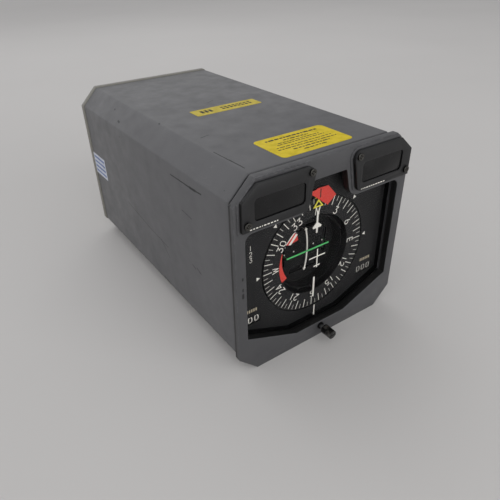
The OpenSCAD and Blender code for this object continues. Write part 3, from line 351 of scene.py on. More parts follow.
def worked_metal(name, rgb, roughness, grain, along=(1, 1, 1)):
    """Turned, milled or plated metal.

    To the eye: fine tool marks in the shine and a little tarnish in the tone. Grain is the
    marks' spacing in millimetres, drawn coarser than real marks so that it shows, and along is
    how many times finer it is on each axis.
    """
    material, tree, shader, place = begin(name, {"Metallic": 1.0})
    stretch = add(tree, "Mapping", {"Vector": place, "Scale": along})
    lines = add(tree, "TexNoise", sized(stretch, grain, 2))
    tarnish = add(tree, "TexNoise", sized(place, 6, 4))
    tone = add(tree, "Mix", {0: tarnish, 6: shade(rgb, 0.8), 7: shade(rgb, 1.12)}, **COLOURED)
    gloss = add(
        tree, "MapRange", {0: lines, 1: 0.3, 2: 0.7, 3: roughness * 0.75, 4: roughness * 1.3}
    )
    bump = add(tree, "Bump", {"Strength": 0.2, "Distance": 0.03 * MM, "Height": lines})
    dress(tree, shader, tone, gloss, bump)
    return material


def moulded_plastic(name, rgb, roughness, dust=0.0):
    """Moulded phenolic or rubber.

    To the eye: a fine even grain, drawn coarser than the real one so that it shows, with pale
    dust where it is left, which on the knob is set high as a painted highlight too.
    """
    material, tree, shader, place = begin(name)
    grit = add(tree, "TexNoise", sized(place, 0.5, 3))
    patch = add(tree, "TexNoise", sized(place, 4, 4))
    tone = add(tree, "Mix", {0: grit, 6: shade(rgb, 0.8), 7: shade(rgb, 1.2)}, **COLOURED)
    # Pale dust; on the knob it also stands for painted highlights
    dust_and_sheen = add(tree, "MapRange", {0: patch, 1: 0.5, 2: 0.75, 4: dust})
    tone = add(tree, "Mix", {0: dust_and_sheen, 6: tone, 7: shade(linear("#8c8983"), 1)}, **COLOURED)
    bump = add(tree, "Bump", {"Strength": 0.15, "Distance": 0.04 * MM, "Height": grit})
    gloss = add(
        tree, "MapRange", {0: patch, 1: 0.3, 2: 0.7, 3: roughness * 0.85, 4: roughness * 1.15}
    )
    dress(tree, shader, tone, gloss, bump)
    return material


def matt_paint(name, rgb, fade=0.12, speck=0.0, specular=0.5):
    """Sprayed matt lacquer or screen print.

    To the eye: flat and a little uneven, with specks of lint where given. Its tooth is drawn
    coarser than real lacquer has so that it shows.
    """
    material, tree, shader, place = begin(name, {"Specular IOR Level": specular})
    cloud = add(tree, "TexNoise", sized(place, 9, 4))
    grit = add(tree, "TexNoise", sized(place, 0.35, 2))
    tone = add(
        tree, "Mix", {0: cloud, 6: shade(rgb, 1 - fade), 7: shade(rgb, 1 + fade)}, **COLOURED
    )
    if speck:
        lint = add(tree, "TexVoronoi", sized(place, 3.1), out="Distance")
        dot = add(tree, "MapRange", {0: lint, 1: 0.045, 2: 0.02, 4: speck})
        tone = add(tree, "Mix", {0: dot, 6: tone, 7: shade(linear("#8f8d88"), 1)}, **COLOURED)
    bump = add(tree, "Bump", {"Strength": 0.04, "Distance": 0.02 * MM, "Height": grit})
    gloss = add(tree, "MapRange", {0: grit, 1: 0.3, 2: 0.7, 3: 0.6, 4: 0.75})
    dress(tree, shader, tone, gloss, bump)
    return material


def polyester_film(name, rgb, roughness=0.38):
    """Printed polyester label film, stuck on.

    To the eye: an even bright colour, slightly dirty and softly glossy.
    """
    material, tree, shader, place = begin(name, {"Specular IOR Level": 0.15})
    dirt = add(tree, "TexNoise", sized(place, 5, 5))
    ripple = add(tree, "TexNoise", sized(place, 13, 1))
    dirty = add(tree, "MapRange", {0: dirt, 1: 0.45, 2: 0.8})
    tone = add(tree, "Mix", {0: dirty, 6: shade(rgb, 1.03), 7: shade(rgb, 0.78)}, **COLOURED)
    bump = add(tree, "Bump", {"Strength": 0.2, "Distance": 0.15 * MM, "Height": ripple})
    gloss = add(
        tree, "MapRange", {0: dirt, 1: 0.3, 2: 0.7, 3: roughness, 4: roughness + 0.15}
    )
    dress(tree, shader, tone, gloss, bump)
    return material


def float_glass(name):
    """Coated float glass, polished.

    To the eye: nearly clear and mirror-smooth, under a thin grey haze of dust.
    """
    material, tree, shader, place = begin(name, {
        "Base Color": shade(linear("#3b3b3c"), 1), "Roughness": 0.06, "IOR": 1.5,
        "Coat Weight": 1.0,
    })
    haze = add(tree, "TexNoise", sized(place, 16, 4))
    veil = add(tree, "MapRange", {0: haze, 1: 0.3, 2: 0.75, 3: 0.01, 4: 0.045})
    tree.links.new(veil, shader.inputs["Alpha"])
    return material


def smoked_acrylic(name):
    """Smoked acrylic filter, cast and polished.

    To the eye: almost black, with a soft shine and a few dust specks.
    """
    material, tree, shader, place = begin(name, {"Specular IOR Level": 0.3})
    lint = add(tree, "TexVoronoi", sized(place, 2.4), out="Distance")
    cloud = add(tree, "TexNoise", sized(place, 8, 4))
    ripple = add(tree, "TexNoise", sized(place, 20, 1))
    deep, pale = shade(linear("#0b0b0c"), 1), shade(linear("#131314"), 1)
    tone = add(tree, "Mix", {0: cloud, 6: deep, 7: pale}, **COLOURED)
    dot = add(tree, "MapRange", {0: lint, 1: 0.05, 2: 0.02, 4: 0.35})
    tone = add(tree, "Mix", {0: dot, 6: tone, 7: shade(linear("#6c6a66"), 1)}, **COLOURED)
    bump = add(tree, "Bump", {"Strength": 0.1, "Distance": 0.1 * MM, "Height": ripple})
    gloss = add(tree, "MapRange", {0: cloud, 1: 0.3, 2: 0.7, 3: 0.16, 4: 0.34})
    dress(tree, shader, tone, gloss, bump)
    return material


def glass_fibre_board(name):
    """Woven glass-fibre laminate under solder mask.

    To the eye: green, with the weave showing faintly. Real weave has threads half a
    millimetre apart and would not show, so it is drawn ten times as coarse.
    """
    material, tree, shader, place = begin(name)
    weave = add(
        tree, "TexWave", {"Vector": place, "Scale": 1 / (5 * MM), "Distortion": 0.4}, out=1,
        bands_direction="DIAGONAL",
    )
    mottle = add(tree, "TexNoise", sized(place, 7, 3))
    green = linear("#2c5a38")
    tone = add(tree, "Mix", {0: mottle, 6: shade(green, 0.75), 7: shade(green, 1.2)}, **COLOURED)
    faint = add(tree, "MapRange", {0: weave, 4: 0.25})
    tone = add(tree, "Mix", {0: faint, 6: tone, 7: shade(green, 1.6)}, **COLOURED)
    bump = add(tree, "Bump", {"Strength": 0.2, "Distance": 0.05 * MM, "Height": weave})
    gloss = add(tree, "MapRange", {0: mottle, 1: 0.3, 2: 0.7, 3: 0.36, 4: 0.5})
    dress(tree, shader, tone, gloss, bump)
    return material


# Rubbed and scratched lines on the case in millimetres: from, to, half width
CASE_MARKS = [
    ((-61.6, -41.2, 106.4), (-61.6, -68.5, 106.7), 0.54),
    ((-61.6, -64.5, 106.6), (-61.6, -71.0, 106.9), 1.01),
    ((-61.6, -72.0, 106.9), (-61.6, -77.1, 107.2), 0.59),
    ((-61.6, 41.2, 55.1), (-61.6, 4.8, 49.4), 0.42),
    ((-61.6, 4.8, 49.4), (-61.6, -23.7, 47.0), 0.35),
    ((-61.6, -14.0, 48.6), (-61.6, -24.3, 38.4), 0.35),
    ((-61.6, -51.7, 87.3), (-61.6, -63.3, 86.2), 0.35),
    ((-61.6, -58.6, 51.8), (-61.6, -62.0, 50.6), 0.54),
    ((-61.6, -64.0, 52.0), (-61.6, -68.6, 50.2), 0.51),
    ((-47.8, -69.6, 125.4), (-46.9, -97.8, 125.4), 0.44),
    ((-47.2, -84.0, 125.4), (-46.9, -96.0, 125.4), 0.54),
    ((-54.1, 57.6, 120.8), (-54.3, 56.6, 120.6), 0.81),
    ((-58.3, 42.7, 116.6), (-58.6, 40.2, 116.4), 0.94),
    ((-61.6, 36.6, 107.8), (-61.6, 36.0, 107.6), 0.68),
    ((-49.0, -6.0, 125.4), (-49.6, -7.2, 125.4), 0.81),
    ((-61.6, -10.5, 15.3), (-61.6, -19.6, 13.5), 0.68),
    ((-1.5, 14.1, 125.4), (4.0, 17.0, 125.4), 0.4),
    ((-42.0, -46.0, 125.4), (-36.0, -44.5, 125.4), 0.4),
]

# Walls of the dial opening behind the bezel's face: a box in millimetres and its tone
OPENING_WALLS = ((-58, -111.1, 9), (58, -95, 116), "#101010")

# Upright side walls of the window covers, behind their faces' rounded edges, painted nearly black:
# painted shade of the groove beside them
COVER_SIDES_SHADE = ((-62, -114.5, 98), (62, -112.2, 117), "#050505")

# Chips along the bezel's left rail and a painted shadow in the gap behind its left edge, in
# millimetres: from, to, half width
BEZEL_CHIPS_AND_GAP_SHADOW = [
    ((-59.2, -111.35, 70.6), (-59.2, -111.35, 69.6), 0.75),
    ((-59.2, -111.35, 63.6), (-59.2, -111.35, 62.4), 0.7),
    ((-59.3, -111.35, 60.0), (-59.3, -111.35, 57.8), 0.95),
    # Painted shadow in the gap between the bezel's flange and the case
    ((-63.5, -107.9, 12.0), (-63.5, -107.9, 114.0), 1.35),
]


def build_materials(colours):
    """Makes every finish once, by the name that the pieces ask for."""
    return {
        "case": satin_enamel("satin_enamel_case", colours.case, CASE_MARKS, wear=0.35),
        # The bezel's enamel, darkened partly as painted shade on its front faces, with a painted
        # shadow in the gap behind its flange
        "bezel": satin_enamel(
            "satin_enamel_bezel_with_painted_shade", colours.bezel, BEZEL_CHIPS_AND_GAP_SHADOW, wear=1.0, rub=2.3,
            darkened_box=OPENING_WALLS,
        ),
        # The covers' enamel, with painted shade on their side walls
        "cover": satin_enamel(
            "satin_enamel_covers_with_side_shade", colours.cover, wear=0.7, rub=2.3, specular=0.35,
            darkened_box=COVER_SIDES_SHADE,
        ),
        "rear": satin_enamel("satin_enamel_rear", colours.rear, wear=1.0, rub=1.5),
        "glass": float_glass("coated_float_glass"),
        "filter": smoked_acrylic("polished_smoked_acrylic"),
        "rubber": moulded_plastic("moulded_rubber", linear("#161616"), 0.75),
        # Pale dust set high on the knob: dust, and painted highlight standing for the glints on
        # its tip
        "knob": moulded_plastic("moulded_black_phenolic", linear("#0c0c0c"), 0.26, dust=0.3),
        "insert": moulded_plastic("moulded_brown_phenolic", linear("#5a3a2c"), 0.5),
        "anodise": worked_metal("black_anodised_aluminium", linear("#1b1b1c"), 0.5, 0.6),
        "aluminium": worked_metal(
            "milled_aluminium", linear("#b4b6b8"), 0.42, 0.5, along=(1, 8, 1)
        ),
        "steel": worked_metal("turned_steel", linear("#a6a7a8"), 0.3, 0.3),
        "screw": worked_metal("blackened_steel", linear("#4f4e4b"), 0.2, 0.25),
        # Painted shade: near-black steel for what lies deep in the screws' recesses
        "recess_shade": worked_metal("blackened_steel_recess_shade", linear("#121212"), 0.6, 0.25),
        "brass": worked_metal("turned_brass", linear("#b08d4a"), 0.3, 0.3),
        "gold": worked_metal("gold_plated_brass", linear("#d0a950"), 0.25, 0.4),
        "olive": worked_metal("olive_plated_aluminium", linear("#7e7b5f"), 0.48, 0.5),
        "dial": matt_paint(
            "matt_black_lacquer_dial", colours.dial, fade=0.22, speck=0.5, specular=0.3
        ),
        "well": matt_paint(
            "matt_black_lacquer_well", colours.well, fade=0.25, speck=0.35, specular=0.2
        ),
        "white": matt_paint("screen_printed_white", colours.white, fade=0.04),
        "worn_white": matt_paint("worn_screen_printed_white", colours.worn_white, fade=0.2),
        "yellow": matt_paint("matt_yellow_lacquer", colours.yellow, fade=0.06),
        "red": matt_paint("matt_red_lacquer", colours.red, fade=0.08),
        "green": matt_paint("matt_green_lacquer", colours.green, fade=0.06),
        "legend": matt_paint("faded_tan_print", colours.legend, fade=0.3),
        "drum": matt_paint("matt_black_drum", linear("#1a1a1a"), fade=0.15),
        "label": polyester_film("polyester_film_yellow", colours.label),
        "label_old": polyester_film("polyester_film_aged_yellow", colours.label_old, 0.5),
        "label_white": polyester_film("polyester_film_white", colours.label_white),
        "label_blue": polyester_film("polyester_film_blue_print", colours.label_blue),
        # Black label ink, also used for the painted shadow line on the top flag
        "ink": matt_paint("black_ink_and_painted_shadow", colours.ink, fade=0.2),
        "board": glass_fibre_board("glass_fibre_laminate"),
    }


# Which finish each carried-over node wears
NODE_FINISH = {
    "glass": ["front_glass"],
    "rubber": ["glass_gasket"],
    "anodise": ["glass_retainer", "dimmer_pot"],
    "knob": ["display_modules"],
    "steel": ["knob_shaft", "bezel_screws", "card_bearing", "bug_bearing", "servo_motors",
              "course_bearings", "counter_shafts"],
    "insert": ["connector_inserts", "brush_block"],
    "gold": ["connector_pins", "slip_rings"],
    "label": ["front_label"],
    "label_old": ["rear_label"],
    "label_white": ["side_label"],
    "dial": ["dial_mask", "compass_card"],
    "brass": ["card_pinion", "bug_pinion", "course_pinion"],
    "well": ["course_carriage"],
    "red": ["arc_flag"],
    "aluminium": ["deviation_meter", "glideslope_meter", "carriage_flag_movers",
                  "heading_flag_mover", "counter_frames", "front_frame", "mid_frame",
                  "gear_frame", "rear_frame", "frame_pillars"],
    "drum": ["course_units_drum", "course_tens_drum", "course_hundreds_drum",
             "distance_units_drum", "distance_tens_drum", "distance_hundreds_drum"],
    "board": ["circuit_boards"],
}

# Every finish by its short name, filled by the first step
FINISHES = {}


def arc(x, z, rx, rz, start, stop, steps=12):
    """Points along part of an ellipse, in degrees counter-clockwise from the right."""
    turns = [math.radians(start + (stop - start) * i / steps) for i in range(steps + 1)]
    return [(x + rx * math.cos(t), z + rz * math.sin(t)) for t in turns]


# Plain instrument characters, one high; each line of a character is a list of points
CHARACTERS = {
    "0": [arc(0.3, 0.7, 0.3, 0.3, 0, 180) + arc(0.3, 0.3, 0.3, 0.3, 180, 360) + [(0.6, 0.7)]],
    "1": [[(0.3, 0), (0.3, 1)]],
    "2": [arc(0.3, 0.71, 0.28, 0.29, 165, -38) + [(0.02, 0), (0.6, 0)]],
    "3": [[(0.03, 1), (0.55, 1), (0.26, 0.62)] + arc(0.27, 0.31, 0.31, 0.31, 88, -150)],
    "4": [[(0.44, 0), (0.44, 1), (0, 0.3), (0.62, 0.3)]],
    "5": [[(0.55, 1), (0.1, 1), (0.06, 0.56)] + arc(0.27, 0.33, 0.31, 0.33, 130, -150)],
    "6": [arc(0.3, 0.3, 0.3, 0.3, 160, -200, 18), [(0.46, 1), (0.02, 0.42)]],
    "7": [[(0, 1), (0.6, 1), (0.2, 0)]],
    "8": [arc(0.3, 0.76, 0.23, 0.24, 0, 360, 16), arc(0.3, 0.27, 0.29, 0.27, 0, 360, 16)],
    "9": [arc(0.3, 0.7, 0.3, 0.3, -20, 340, 18), [(0.14, 0), (0.58, 0.58)]],
    "N": [[(0, 0), (0, 1), (0.6, 0), (0.6, 1)]],
    "E": [[(0.56, 1), (0, 1), (0, 0), (0.56, 0)], [(0, 0.52), (0.48, 0.52)]],
    "S": [arc(0.3, 0.74, 0.27, 0.26, 30, 270) + arc(0.3, 0.25, 0.28, 0.25, 80, -150)],
    "W": [[(0, 1), (0.18, 0), (0.38, 0.85), (0.58, 0), (0.76, 1)]],
}

# Widths of characters one high, and the gap between two
WIDE_CHARACTERS = {"W": 0.76}
CHARACTER_WIDTH = 0.6
CHARACTER_GAP = 0.32

# Width of the lines of the counters' digits in millimetres, and the longest piece of a line
# on the round drums and on the flat card
DIGIT_STROKE = 0.55
DRUM_STEP = 0.5
CARD_STEP = 2

# What the card says, every thirty degrees clockwise from the top
CARD_TEXTS = ("N", "3", "6", "E", "12", "15", "S", "21", "24", "W", "30", "33")

# The fixed triangles: degrees clockwise from the top, and their size in millimetres
INDEX_TURNS = (45, 90, 270, 315)
INDEX_WIDTH = 2.5
INDEX_DEPTH = 2.4

# Plain digits left of the card in millimetres: how far each is above the dial's middle, how
# far to its side, and their height and line width
SMALL_DIGITS = (("3", 14.6), ("2", 18.5), ("1", 22.4))
SMALL_DIGITS_X = -47.3
SMALL_DIGIT_HEIGHT = 2.8
SMALL_DIGIT_STROKE = 0.28

# Legends over the two counters in millimetres: their middles and height on the part, how far
# left of its middle a row starts, and the dashes' number, pitch, length and height
LEGEND_MIDDLES = (-48.3, 46.6)
LEGEND_Z = 36.6
LEGEND_START = 4.5
LEGEND_DASHES = 6
LEGEND_PITCH = 1.6
LEGEND_DASH = 1.0
LEGEND_HEIGHT = 2.2

# Lines on the glass's inner face in millimetres from the dial's middle: from, to
GLASS_MARKS = (
    ((0, -7.9), (0, 5.5)),
    ((-6.45, 0.15), (-0.4, 0.15)),
    ((0.4, 0.15), (6.45, 0.15)),
    ((-2.5, -6.45), (-0.4, -6.45)),
    ((0.4, -6.45), (2.5, -6.45)),
    ((0, -46), (0, -37.6)),
)
GLASS_MARK_WIDTH = 0.8

# Deviation dots in millimetres: where they are across the well, and their radius
DOT_PLACES = (-15.4, -8, 8, 15.4)
DOT_RADIUS = 0.5

# The striped flag at the upper left: degrees from the top, how far out its white rim starts
# in millimetres, and its stripe's corners as if it stood at the top
FLAG_TURN = -45
FLAG_RIM = 18.7
FLAG_STRIPE = ((-4.4, 17.2), (-3.4, 15.5), (4.2, 15.9), (3.95, 17.6))

# Corners of the heading marker's dark triangle, in millimetres from the dial's middle
MARKER_TRIANGLE = ((-2.2, 34.15), (2.2, 34.15), (0, 36.8))

# The top flag's dark line in millimetres, a painted shadow of the lubber line: from, to and
# width; left of the arm's place, the flag is its black arm
FLAG_SHADOW_LINE = ((0.3, 39.6), (0.3, 45.2))
FLAG_SHADOW_WIDTH = 0.8
FLAG_ARM_X = -6

# Front label's rows in millimetres from its middle: place up it, half the length, thickness
FRONT_LABEL_ROWS = (
    (10.2, 19, 1.5), (6.8, 9, 1.1), (4.0, 15, 0.7), (1.8, 17, 0.7), (-1.6, 20, 0.7),
    (-4.4, 21, 0.8), (-7.4, 13, 1.0), (-10.4, 8, 0.9),
)

# Rear label in millimetres from its middle: rows by place up it, from, to and thickness, the
# dashes' length and pitch, and the three bars beside the rows, with half their height and width
REAR_LABEL_ROWS = ((1.8, -4, 20, 1.6), (-1.3, -4, 18, 1.9))
REAR_LABEL_DASH = 2.2
REAR_LABEL_PITCH = 3.1
REAR_LABEL_BARS = (-19, -15.8, -12.6)
REAR_BAR_REACH = 2.6
REAR_BAR_WIDTH = 2.1

# Side label's bars in millimetres from its middle: places up it, half length and thickness
SIDE_LABEL_BARS = (-6, -2, 2, 6)
SIDE_BAR_REACH = 11
SIDE_BAR_WIDTH = 1.7

# Window covers' rows in millimetres: from and to on the part, and above the cover's lower edge
COVER_ROWS = ((-56.2, -38.2), (20.6, 39.2))
COVER_ROW_RISE = 1.2
COVER_ROW_THICK = 0.6

# Gap between two dashes of uneven length in millimetres
DASH_GAP = 0.75

# The photo's camera: degrees round from the front, up and rolled, and its place in millimetres
CAMERA_TURNS = (-34.14, 32.68, -1.5)
CAMERA_PLACE = (-170.34, -282.77, 219.67)

# The lamps in metres: where each stands, their width and height, and the point they face
OVERHEAD_PLACE = (0.2, 1.0, 1.1)
FRONT_PLACE = (0.1, -1.3, 0.55)
LAMP_SIZE = (1.6, 1.2)
LAMP_AIM = Vector((0, 0, 0.06))

# The sky is brightest this way, low on the left, and is a very little blue
SKY_BRIGHT_WAY = (-0.85, 0.2, -0.49)
SKY_TINT = (0.985, 0.985, 1.0, 1)

# Half the floor's width and the size of its faint clouds, in metres
FLOOR_REACH = 6
FLOOR_CLOUD = 0.35


def flat_on_dial(y, turn=0.0):
    """Where a point drawn on the dial stands, with the dial turned clockwise."""
    c, s = math.cos(turn), math.sin(turn)

    def place(u, v, out):
        return Vector((CENTRE.x + u * c + v * s, y - out, CENTRE.z + v * c - u * s))

    return place


def flat_on_top(x, y, z):
    """Where a point drawn on an upward face stands."""
    return lambda u, v, out: Vector((x + u, y + v, z + out))


def upper_face(node):
    """Where a point drawn on a label's upper face stands, from the face's middle."""
    low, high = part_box(node)
    middle = (low + high) / 2
    return flat_on_top(middle.x, middle.y, high.z)


def flat_on_left(x, y, z):
    """Where a point drawn on the left wall stands."""
    return lambda u, v, out: Vector((x - out, y + u, z + v))


def flat_on_front(x, y, z):
    """Where a point drawn on a face turned to the front stands."""
    return lambda u, v, out: Vector((x + u, y - out, z + v))


def moved_along(place, across, up):
    """The same face, with what is drawn on it moved across and up."""
    return lambda u, v, out: place(u + across, v + up, out)


def round_a_drum(box, turn):
    """Where a point drawn round a counter drum stands, from the front upwards."""
    middle = (box[0] + box[1]) / 2
    radius = (box[1].z - box[0].z) / 2

    def place(u, v, out):
        angle = turn + v / radius
        reach = radius + out
        return Vector(
            (middle.x + u, middle.y - reach * math.cos(angle), middle.z + reach * math.sin(angle))
        )

    return place


def in_metres(points):
    """Points given in millimetres."""
    return [(u * MM, v * MM) for u, v in points]


def add_shape(bm, outline, place):
    """Adds a flat shape as a closed solid as thin as ink."""
    low = [bm.verts.new(place(u, v, 0)) for u, v in outline]
    high = [bm.verts.new(place(u, v, INK)) for u, v in outline]
    bm.faces.new(high)
    bm.faces.new(low[::-1])
    for i in range(len(outline)):
        j = (i + 1) % len(outline)
        bm.faces.new((low[i], low[j], high[j], high[i]))


def spaced(points, step):
    """The same line with points no further apart than a step."""
    out = [points[0]]
    for a, b in zip(points, points[1:]):
        pieces = max(1, math.ceil(math.dist(a, b) / step))
        out += [
            (a[0] + (b[0] - a[0]) * i / pieces, a[1] + (b[1] - a[1]) * i / pieces)
            for i in range(1, pieces + 1)
        ]
    return out


def add_stroke(bm, points, width, place):
    """Adds a line of even width through the points as a closed solid as thin as ink."""
    points = [Vector(p) for p in points]
    rows = []
    for i, point in enumerate(points):
        before = (point - points[i - 1]).normalized() if i else None
        after = (points[i + 1] - point).normalized() if i < len(points) - 1 else before
        before = before or after
        along = before + after
        along = along.normalized() if along.length > 0.01 else before
        across = Vector((-along.y, along.x))
        # Corners are mitred, and a sharp one reaches little more than twice the half width
        reach = width / 2 / max(0.45, across.dot(Vector((-before.y, before.x))))
        left, right = point + across * reach, point - across * reach
        rows.append([bm.verts.new(place(*p, out)) for p, out in (
            (left, 0), (left, INK), (right, INK), (right, 0)
        )])
    for a, b in zip(rows, rows[1:]):
        for i in range(4):
            j = (i + 1) % 4
            bm.faces.new((a[i], a[j], b[j], b[i]))
    bm.faces.new(rows[0])
    bm.faces.new(rows[-1][::-1])


def add_dash(bm, start, stop, v, thick, place):
    """Adds one level dash, its places in millimetres."""
    add_stroke(bm, in_metres([(start, v), (stop, v)]), thick * MM, place)


def add_text(bm, text, height, stroke, place, step=1.0):
    """Adds a short row of characters centred on the place's origin.

    No piece of a line is longer than the step, which is short where the face is round.
    """
    widths = [WIDE_CHARACTERS.get(c, CHARACTER_WIDTH) for c in text]
    total = sum(widths) + CHARACTER_GAP * (len(text) - 1)
    left = -total / 2
    for character, wide in zip(text, widths):
        for line in CHARACTERS[character]:
            points = [((left + u) * height, (v - 0.5) * height) for u, v in line]
            add_stroke(bm, spaced(points, step), stroke, place)
        left += wide + CHARACTER_GAP


def finish_piece(name, bm, finish, body):
    """Turns what was drawn into a piece that rides on a body."""
    bmesh.ops.recalc_face_normals(bm, faces=bm.faces)
    mesh = bpy.data.meshes.new(name)
    bm.to_mesh(mesh)
    bm.free()
    mesh.materials.append(FINISHES[finish])
    piece = bpy.data.objects.new(name, mesh)
    bpy.context.scene.collection.objects.link(piece)
    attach(piece, body)
    return piece


def soften(node, width, finish, body, turn=ROUNDED_ANGLE, beyond=None):
    """Puts a copy of a node in its place, with the edges that turn enough rounded by a width.

    Beyond is a point, a direction and the finish of what lies past the point that way.
    """
    bm = bmesh.new()
    bm.from_mesh(NODES[node].data)
    bmesh.ops.remove_doubles(bm, verts=bm.verts, dist=0.001 * MM)
    bmesh.ops.dissolve_limit(
        bm, angle_limit=math.radians(FLAT_ANGLE), verts=bm.verts, edges=bm.edges
    )
    if beyond:
        point, toward, other = beyond
        bmesh.ops.bisect_plane(
            bm, geom=bm.verts[:] + bm.edges[:] + bm.faces[:], plane_co=point, plane_no=toward
        )
        for face in bm.faces:
            face.material_index = (face.calc_center_median() - point).dot(toward) > 0
    edges = [
        e for e in bm.edges
        if len(e.link_faces) == 2 and e.calc_face_angle(0) > math.radians(turn)
    ]
    if width:
        bmesh.ops.bevel(
            bm, geom=edges, offset=width, offset_type="OFFSET", segments=2, profile=0.5,
            affect="EDGES", clamp_overlap=False,
        )
    bmesh.ops.remove_doubles(bm, verts=bm.verts, dist=0.002 * MM)
    piece = finish_piece(node + "_rounded", bm, finish, body)
    piece.data.shade_smooth()
    piece.data.set_sharp_from_angle(angle=math.radians(SHARP_ANGLE))
    if beyond:
        piece.data.materials.append(FINISHES[other])
    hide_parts(node)


class INDICATOR_OT_finishes(bpy.types.Operator):
    """Give every carried-over node its finish"""

    bl_idname = "indicator.finishes"
    bl_label = "Finishes"

    def execute(self, context):
        FINISHES.update(build_materials(context.scene.indicator_colours))
        for finish, names in NODE_FINISH.items():
            for name in names:
                for slot in NODES[name].material_slots:
                    slot.material = FINISHES[finish]
        return {"FINISHED"}


class INDICATOR_OT_shell(bpy.types.Operator):
    """Build the case, rear plate, bezel and window covers with rounded edges"""

    bl_idname = "indicator.shell"
    bl_label = "Case and Bezel"

    def execute(self, context):
        edges = context.scene.indicator_edges
        soften("case_shell", edges.case, "case", "case_body")
        soften("rear_plate", edges.case, "rear", "case_body")
        soften("bezel", edges.bezel, "bezel", "case_body")
        for name in ("left_window_cover", "right_window_cover"):
            soften(name, edges.cover, "cover", "case_body")
        soften("display_windows", edges.small, "filter", "case_body")
        return {"FINISHED"}


class INDICATOR_OT_fittings(bpy.types.Operator):
    """Build the knob, screws, rear connectors and stud"""

    bl_idname = "indicator.fittings"
    bl_label = "Knob, Screws and Connectors"

    def execute(self, context):
        edges = context.scene.indicator_edges
        fuller = SCREW_ROUNDING * edges.small
        soften("dimmer_knob", edges.knob, "knob", "knob", turn=KNOB_ANGLE)
        # What lies deeper than this in the window screws' heads is painted dark as the shade in
        # their recesses
        recess_shade = Vector((0, SCREWS[0].y + SHADED_RECESS_DEPTH * MM, 0))
        soften("window_screws", fuller, "screw", "case_body",
               beyond=(recess_shade, BACKWARD, "recess_shade"))
        soften("rear_screws", fuller, "screw", "case_body")
        soften("rear_connectors", fuller, "olive", "case_body")
        soften("ground_stud", edges.small, "screw", "case_body")
        return {"FINISHED"}


class INDICATOR_OT_card(bpy.types.Operator):
    """Print the turning compass card"""

    bl_idname = "indicator.card"
    bl_label = "Compass Card"

    offset: FloatProperty(
        name="Rest heading", description="How far the card stands from north at rest",
        subtype="ANGLE", default=math.radians(0.7),
    )

    def execute(self, context):
        dial = context.scene.indicator_dial
        bm = bmesh.new()
        for i in range(1, 72, 2):
            place = flat_on_dial(CARD[0].y, math.radians(5 * i) + self.offset)
            inner = dial.tick_outer - dial.tick_short
            add_stroke(bm, [(0, inner), (0, dial.tick_outer)], dial.tick_fine, place)
        finish_piece("card_short_ticks", bm, "worn_white", "card")
        bm = bmesh.new()
        for i in range(36):
            place = flat_on_dial(CARD[0].y, math.radians(10 * i) + self.offset)
            inner = dial.tick_outer - dial.tick_long
            add_stroke(bm, [(0, inner), (0, dial.tick_outer)], dial.tick_width, place)
        for i, text in enumerate(CARD_TEXTS):
            turned = flat_on_dial(CARD[0].y, math.radians(30 * i) + self.offset)
            place = moved_along(turned, 0, dial.number_radius)
            add_text(bm, text, dial.number_height, dial.stroke, place, CARD_STEP * MM)
        finish_piece("card_print", bm, "white", "card")
        return {"FINISHED"}


class INDICATOR_OT_mask(bpy.types.Operator):
    """Print the fixed mask and the marks on the glass's inner face"""

    bl_idname = "indicator.mask"
    bl_label = "Mask and Glass Marks"

    def execute(self, context):
        dial = context.scene.indicator_dial
        bm = bmesh.new()
        half, deep = INDEX_WIDTH / 2 * MM, INDEX_DEPTH * MM
        for turn in INDEX_TURNS:
            place = flat_on_dial(MASK[0].y, math.radians(turn))
            add_shape(bm, [
                (-half, dial.index_radius + deep / 2), (half, dial.index_radius + deep / 2),
                (0, dial.index_radius - deep / 2),
            ], place)
        flat = flat_on_dial(MASK[0].y)
        for text, rise in SMALL_DIGITS:
            place = moved_along(flat, SMALL_DIGITS_X * MM, rise * MM)
            add_text(bm, text, SMALL_DIGIT_HEIGHT * MM, SMALL_DIGIT_STROKE * MM, place)
        finish_piece("mask_print", bm, "white", "case_body")
        bm = bmesh.new()
        v = LEGEND_Z * MM - CENTRE.z
        for middle in LEGEND_MIDDLES:
            for i in range(LEGEND_DASHES):
                left = middle * MM + (i * LEGEND_PITCH - LEGEND_START) * MM
                points = [(left, v), (left + LEGEND_DASH * MM, v)]
                add_stroke(bm, points, LEGEND_HEIGHT * MM, flat)
        finish_piece("counter_legends", bm, "legend", "case_body")
        bm = bmesh.new()
        inner = flat_on_dial(GLASS[1].y + INK)
        for points in GLASS_MARKS:
            add_stroke(bm, in_metres(points), GLASS_MARK_WIDTH * MM, inner)
        finish_piece("glass_marks", bm, "white", "case_body")
        return {"FINISHED"}


class INDICATOR_OT_counters(bpy.types.Operator):
    """Print the digits round the six counter drums"""

    bl_idname = "indicator.counters"
    bl_label = "Counter Drums"

    def execute(self, context):
        dial = context.scene.indicator_dial
        for side in ("course", "distance"):
            for digit_place in ("units", "tens", "hundreds"):
                node = f"{side}_{digit_place}_drum"
                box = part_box(node)
                bm = bmesh.new()
                for digit in range(10):
                    place = round_a_drum(box, math.radians(36 * digit))
                    add_text(bm, str(digit), dial.digit_height, DIGIT_STROKE * MM, place,
                             DRUM_STEP * MM)
                finish = "white" if side == "course" else "worn_white"
                finish_piece(f"{node}_digits", bm, finish, f"{side}_{digit_place}")
        return {"FINISHED"}


